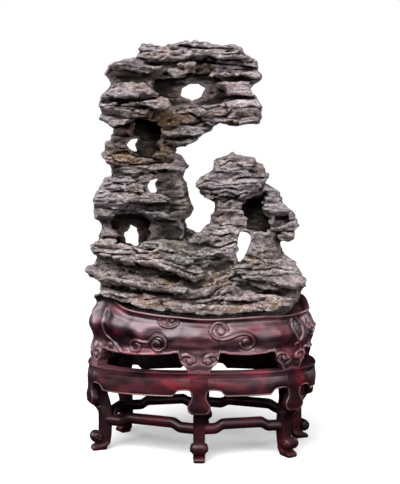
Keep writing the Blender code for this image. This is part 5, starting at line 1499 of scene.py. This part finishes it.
def cradle_side(angles, runs, rows):
    """The carved outside of the cradle, from the rim down to the feet."""
    rim = rim_height(angles)
    edge = cradle_edge(runs)
    shares = np.linspace(0.0, 1.0, rows) ** 1.04
    height = rim + (edge - rim) * shares[:, None]
    run = np.broadcast_to(runs, height.shape)
    down = (rim - height) / (rim - CRADLE_UNDERSIDE)
    offset = curve(CRADLE_SIDE, down)
    x, y, _ = np.moveaxis(on_plan(angles, 0.0, 0.0), -1, 0)
    swell = grained(x, y, height, WOOD_SWELL) + 0.6 * grained(x, y, height, WOOD_DENTS)
    shown = np.clip((down - 0.10) / 0.15, 0.0, 1.0) * np.clip((1.05 - down) / 0.2, 0.0, 1.0)
    relief, lines, grooves = carving(run, height)
    shown_lines = np.clip((down - 0.05) / 0.06, 0.0, 1.0)
    slope = np.gradient(edge, runs)
    near_edge = (height - edge) / np.sqrt(1.0 + np.minimum(np.abs(slope), 3.0) ** 2)
    rolled = bead(near_edge, 1.4, 1.0, 0.9) * np.clip((foot_distance(run) - 15.0) / 6.0, 0.35, 1.0)
    offset = offset + SWELL_HEIGHT * swell * shown + relief * shown_lines + rolled
    # These lines get a painted highlight: the carved lines, the bead along the lower edge and the rim's top
    # edge.
    lines = np.maximum(lines * shown_lines, np.exp(-((near_edge - 1.4) / 1.0) ** 2))
    lines = np.maximum(lines, np.exp(-((rim - height - 0.6) / 1.0) ** 2))
    # Painted shade in the dents of the swell.
    hollow = np.clip(-0.9 * swell, 0.0, 0.6) * shown
    return on_plan(angles, offset, height), lines, np.maximum(grooves * shown_lines, hollow)


def stone_ceiling(rock):
    """A function that gives the lowest height of the stone near a point, less the clearance, in metres."""
    tree = BVHTree.FromObject(rock, bpy.context.evaluated_depsgraph_get())

    def lowest(x, y):
        found = float(seat_height(x, y))
        for dx, dy in ((0, 0), (FEELER, 0), (-FEELER, 0), (0, FEELER), (0, -FEELER)):
            hit = tree.ray_cast(Vector((x + dx, y + dy, FEELER_START)), Vector(UP))[0]
            if hit is not None:
                found = min(found, hit.z)
        return found - SEAT_CLEARANCE
    return lowest


def basin(angles, ceiling):
    """Rings of the basin under the stone, from its middle out to the rim's steep inner wall."""
    shelf = (rim_height(angles) - RIM_DROP) * MM
    wall = on_plan(angles, RIM_OFFSET - RIM_WIDTH - RIM_WALL, 0.0)
    rings = []
    for share in BASIN_RINGS:
        x = STAND_X + (wall[:, 0] - STAND_X) * share
        y = wall[:, 1] * share
        found = np.array([ceiling(a, b) for a, b in zip(x, y)])
        rings.append(np.stack([x, y, np.minimum(shelf, found)], axis=-1))
    return rings


def make_cradle(rock, material):
    runs = FRONT_RUN - CARVING_START + FULL_RUN * np.arange(CRADLE_COLUMNS) / CRADLE_COLUMNS
    angles = angle_at(runs % FULL_RUN)
    rim = rim_height(angles)
    side, lines, grooves = cradle_side(angles, runs, CRADLE_ROWS)
    rings = basin(angles, stone_ceiling(rock))
    for offset, drop in RIM_STEPS:
        rings.append(on_plan(angles, RIM_OFFSET + offset, rim - drop))
    inside = len(rings)
    rings += list(side)
    edge = cradle_edge(runs)
    level = np.full(CRADLE_COLUMNS, CRADLE_UNDERSIDE)
    for offset, height in ((-6.0, edge), (-4.0 - FOOT_THICK, edge), (-7.0 - FOOT_THICK, level)):
        rings.append(on_plan(angles, offset, height))
    mesh = skin_mesh("cradle", rings)
    raised, sunk = np.zeros((2, len(rings), CRADLE_COLUMNS))
    raised[inside:inside + len(lines)] = lines
    sunk[inside:inside + len(lines)] = grooves
    cradle = add_piece("cradle_wood", mesh, material, CRADLE_SHARP)
    # Painted highlight on the raised carved lines, the bead along the lower edge and the rim's top edge.
    add_attribute(mesh, "painted_highlight", raised.reshape(-1))
    # Painted shade beside the carved lines, round the buttons and in the dents between the bumps.
    add_attribute(mesh, "groove", sunk.reshape(-1))
    stand_in(cradle, "cradle")


# ---------------------------------------------------------------- wood: material
CLOUD_TONES = (
    (0.38, (0.006, 0.002, 0.005)), (0.47, (0.046, 0.008, 0.015)), (0.55, (0.150, 0.012, 0.025)),
    (0.63, (0.420, 0.022, 0.048)),
)
PAINTED_SHEEN_ROSE = (0.250, 0.125, 0.148)
GROUND_BROWN = (0.016, 0.006, 0.007)
STREAK_AND_SHADOW_BLACK = (0.008, 0.003, 0.006)
PORE_AND_LOW_BLACK = (0.012, 0.004, 0.005)
PAINTED_HIGHLIGHT_ROSE = (0.300, 0.150, 0.150)
GROOVE_SHADE_BLACK = (0.010, 0.003, 0.005)


def hardwood_material(name, painted_sheen_share, ground, gloss, coat):
    """Dark red polished hardwood: clouds, painted sheen, streaks, fine pores, a painted shadow under the
    stone, darker towards the bottom, painted highlights on beads and raised lines, and painted shade in
    grooves.
    """
    n = Nodes(name)
    streak = n.noise((14.0, 14.0, 90.0), 5.0, 0.55, 0.6)
    cloud = n.noise((24.0, 24.0, 34.0), 3.0, 0.5, 0.3)
    painted_sheen = n.noise((11.0, 11.0, 26.0), 3.0, 0.55)
    pore = n.noise((160.0, 160.0, 900.0), 3.0, 0.6)
    base = n.ramp(cloud, CLOUD_TONES)
    # Painted sheen: rosy patches that stand in for the lamps' soft reflections.
    base = n.mix(n.spread(painted_sheen, 0.44, 0.58, 0.0, painted_sheen_share), base, PAINTED_SHEEN_ROSE)
    base = n.mix(ground, base, GROUND_BROWN)
    # Painted shadow: the cradle's top band, under the stone's lower edge, darkened in patches.
    lip_shadow = n.times(n.spread(n.height(), 0.188, 0.204, 0.0, 0.85), n.spread(cloud, 0.56, 0.44, 0.15, 1.0))
    base = n.mix(lip_shadow, base, STREAK_AND_SHADOW_BLACK)
    base = n.mix(n.spread(streak, 0.36, 0.60, 0.75, 0.0), base, STREAK_AND_SHADOW_BLACK)
    base = n.mix(n.spread(pore, 0.58, 0.72, 0.0, 0.35), base, PORE_AND_LOW_BLACK)
    # Darker towards the bottom, from the frame's top downward.
    base = n.mix(n.spread(n.height(), 0.128, 0.095, 0.0, 0.55), base, PORE_AND_LOW_BLACK)
    # Painted highlight: light rosy lines on beads, raised carved lines and the rim's edge.
    base = n.mix(n.times(n.attribute("painted_highlight"), 0.55), base, PAINTED_HIGHLIGHT_ROSE)
    # Painted shade: dark beside the carved lines, round the buttons and in the dents of the swell.
    base = n.mix(n.times(n.attribute("groove"), 0.85), base, GROOVE_SHADE_BLACK)
    return n.finish(
        base, n.spread(cloud, 0.3, 0.7, 0.34, 0.46), n.bump(streak, 0.0006, 0.35), Specular_IOR_Level=gloss,
        Specular_Tint=(1.0, 0.80, 0.86, 1.0), Coat_Tint=(1.0, 0.90, 0.94, 1.0), Coat_Weight=coat,
        Coat_Roughness=0.30)


# ---------------------------------------------------------------- camera, lights, floor
# The photo's own measures in its pixels: height, focal length, and the horizon's rise above its middle.
PHOTO_HEIGHT = 484.0
FOCAL_LENGTH = 930.0
HORIZON_RISE = 62.0
AIM_X = -0.0052                  # metres, where the view's middle passes beside the world's origin
SENSOR = 36.0
FLOOR_HALF = 30.0
PAPER_TONES = ((0.0, (0.88, 0.88, 0.88)), (1.0, (0.92, 0.92, 0.92)))
PAPER_GLOW = 0.34
LIGHT_TARGET = (0.0, 0.0, 0.3)
# Softboxes: name, place, width and height (m), watts.
SOFTBOXES = (
    ("key", (-0.9, -1.5, 1.5), (1.5, 1.3), 24.0), ("fill", (1.3, -1.6, 0.9), (1.1, 1.5), 20.0),
    ("rim_left", (-1.5, 0.9, 0.7), (0.5, 1.2), 9.0), ("rim_right", (1.5, 0.9, 0.7), (0.5, 1.2), 9.0),
)
OVERHEAD_FROM = (-0.25, -0.65, 1.0)
OVERHEAD_STRENGTH = 3.3
OVERHEAD_SPREAD = 60.0           # degrees


def look_along(obj, direction):
    obj.rotation_euler = Vector(direction).to_track_quat("-Z", "Y").to_euler()


def add_camera():
    data = bpy.data.cameras.new("camera")
    data.sensor_fit = "VERTICAL"
    data.sensor_height = SENSOR
    data.lens = FOCAL_LENGTH / PHOTO_HEIGHT * SENSOR
    camera = link_object("camera", data)
    camera.location = EYE
    pitch = math.atan(HORIZON_RISE / FOCAL_LENGTH)
    yaw = math.atan2(AIM_X, -EYE.y)
    level = math.cos(pitch)
    look_along(camera, (math.sin(yaw) * level, math.cos(yaw) * level, -math.sin(pitch)))
    bpy.context.scene.camera = camera


def add_floor():
    """A wide pale floor that takes shadows and throws no light back up."""
    mesh = bpy.data.meshes.new("floor")
    corners = [(x * FLOOR_HALF, y * FLOOR_HALF, 0.0) for x, y in ((-1, -1), (1, -1), (1, 1), (-1, 1))]
    mesh.from_pydata(corners, [], [(0, 1, 2, 3)])
    floor = link_object("floor", mesh)
    floor.visible_diffuse = False
    floor.visible_glossy = False
    n = Nodes("floor_paper")
    tone = n.ramp(n.noise((3.0, 3.0, 3.0)), PAPER_TONES)
    n.feed(n.shader, {"Base Color": tone, "Emission Color": tone, "Emission Strength": PAPER_GLOW,
                      "Roughness": 1.0, "Specular IOR Level": 0.0})
    mesh.materials.append(n.material)


def add_lamp(name, kind, energy, direction, place=(0.0, 0.0, 0.0)):
    data = bpy.data.lights.new(name, kind)
    data.energy = energy
    lamp = link_object(name, data)
    lamp.location = place
    look_along(lamp, direction)
    return data


def add_light():
    """A white backdrop that lights nothing itself, a wide soft light overhead and four softboxes."""
    world = bpy.data.worlds.new("studio")
    bpy.context.scene.world = world
    world.use_nodes = True
    world.node_tree.nodes["Background"].inputs["Color"].default_value = (1.0, 1.0, 1.0, 1.0)
    world.node_tree.nodes["Background"].inputs["Strength"].default_value = 1.0
    world.cycles_visibility.diffuse = False
    world.cycles_visibility.glossy = False
    sun = add_lamp("overhead", "SUN", OVERHEAD_STRENGTH, -Vector(OVERHEAD_FROM))
    sun.angle = math.radians(OVERHEAD_SPREAD)
    for name, place, size, power in SOFTBOXES:
        box = add_lamp(name, "AREA", power, Vector(LIGHT_TARGET) - Vector(place), place)
        box.shape = "RECTANGLE"
        box.size, box.size_y = size
    bpy.context.scene.view_settings.view_transform = "Standard"


add_camera()
add_light()
add_floor()
rock = make_rock()
# Three copies of one wood: the cradle's carries the most painted sheen and no darkening towards dark brown;
# the aprons' and rails' some of each; the legs' and stretchers' the least sheen and the most darkening.
wood = hardwood_material("hardwood", 0.45, 0.34, 0.7, 0.25)
leg_wood = hardwood_material("hardwood_dark", 0.15, 0.64, 0.40, 0.10)
make_cradle(rock, hardwood_material("hardwood_painted_sheen", 0.95, 0.0, 0.9, 0.35))
for number in range(6):
    make_leg(number, leg_wood)
    make_apron(number, wood)
    make_rail(number, wood)
    make_stretcher(number, leg_wood)
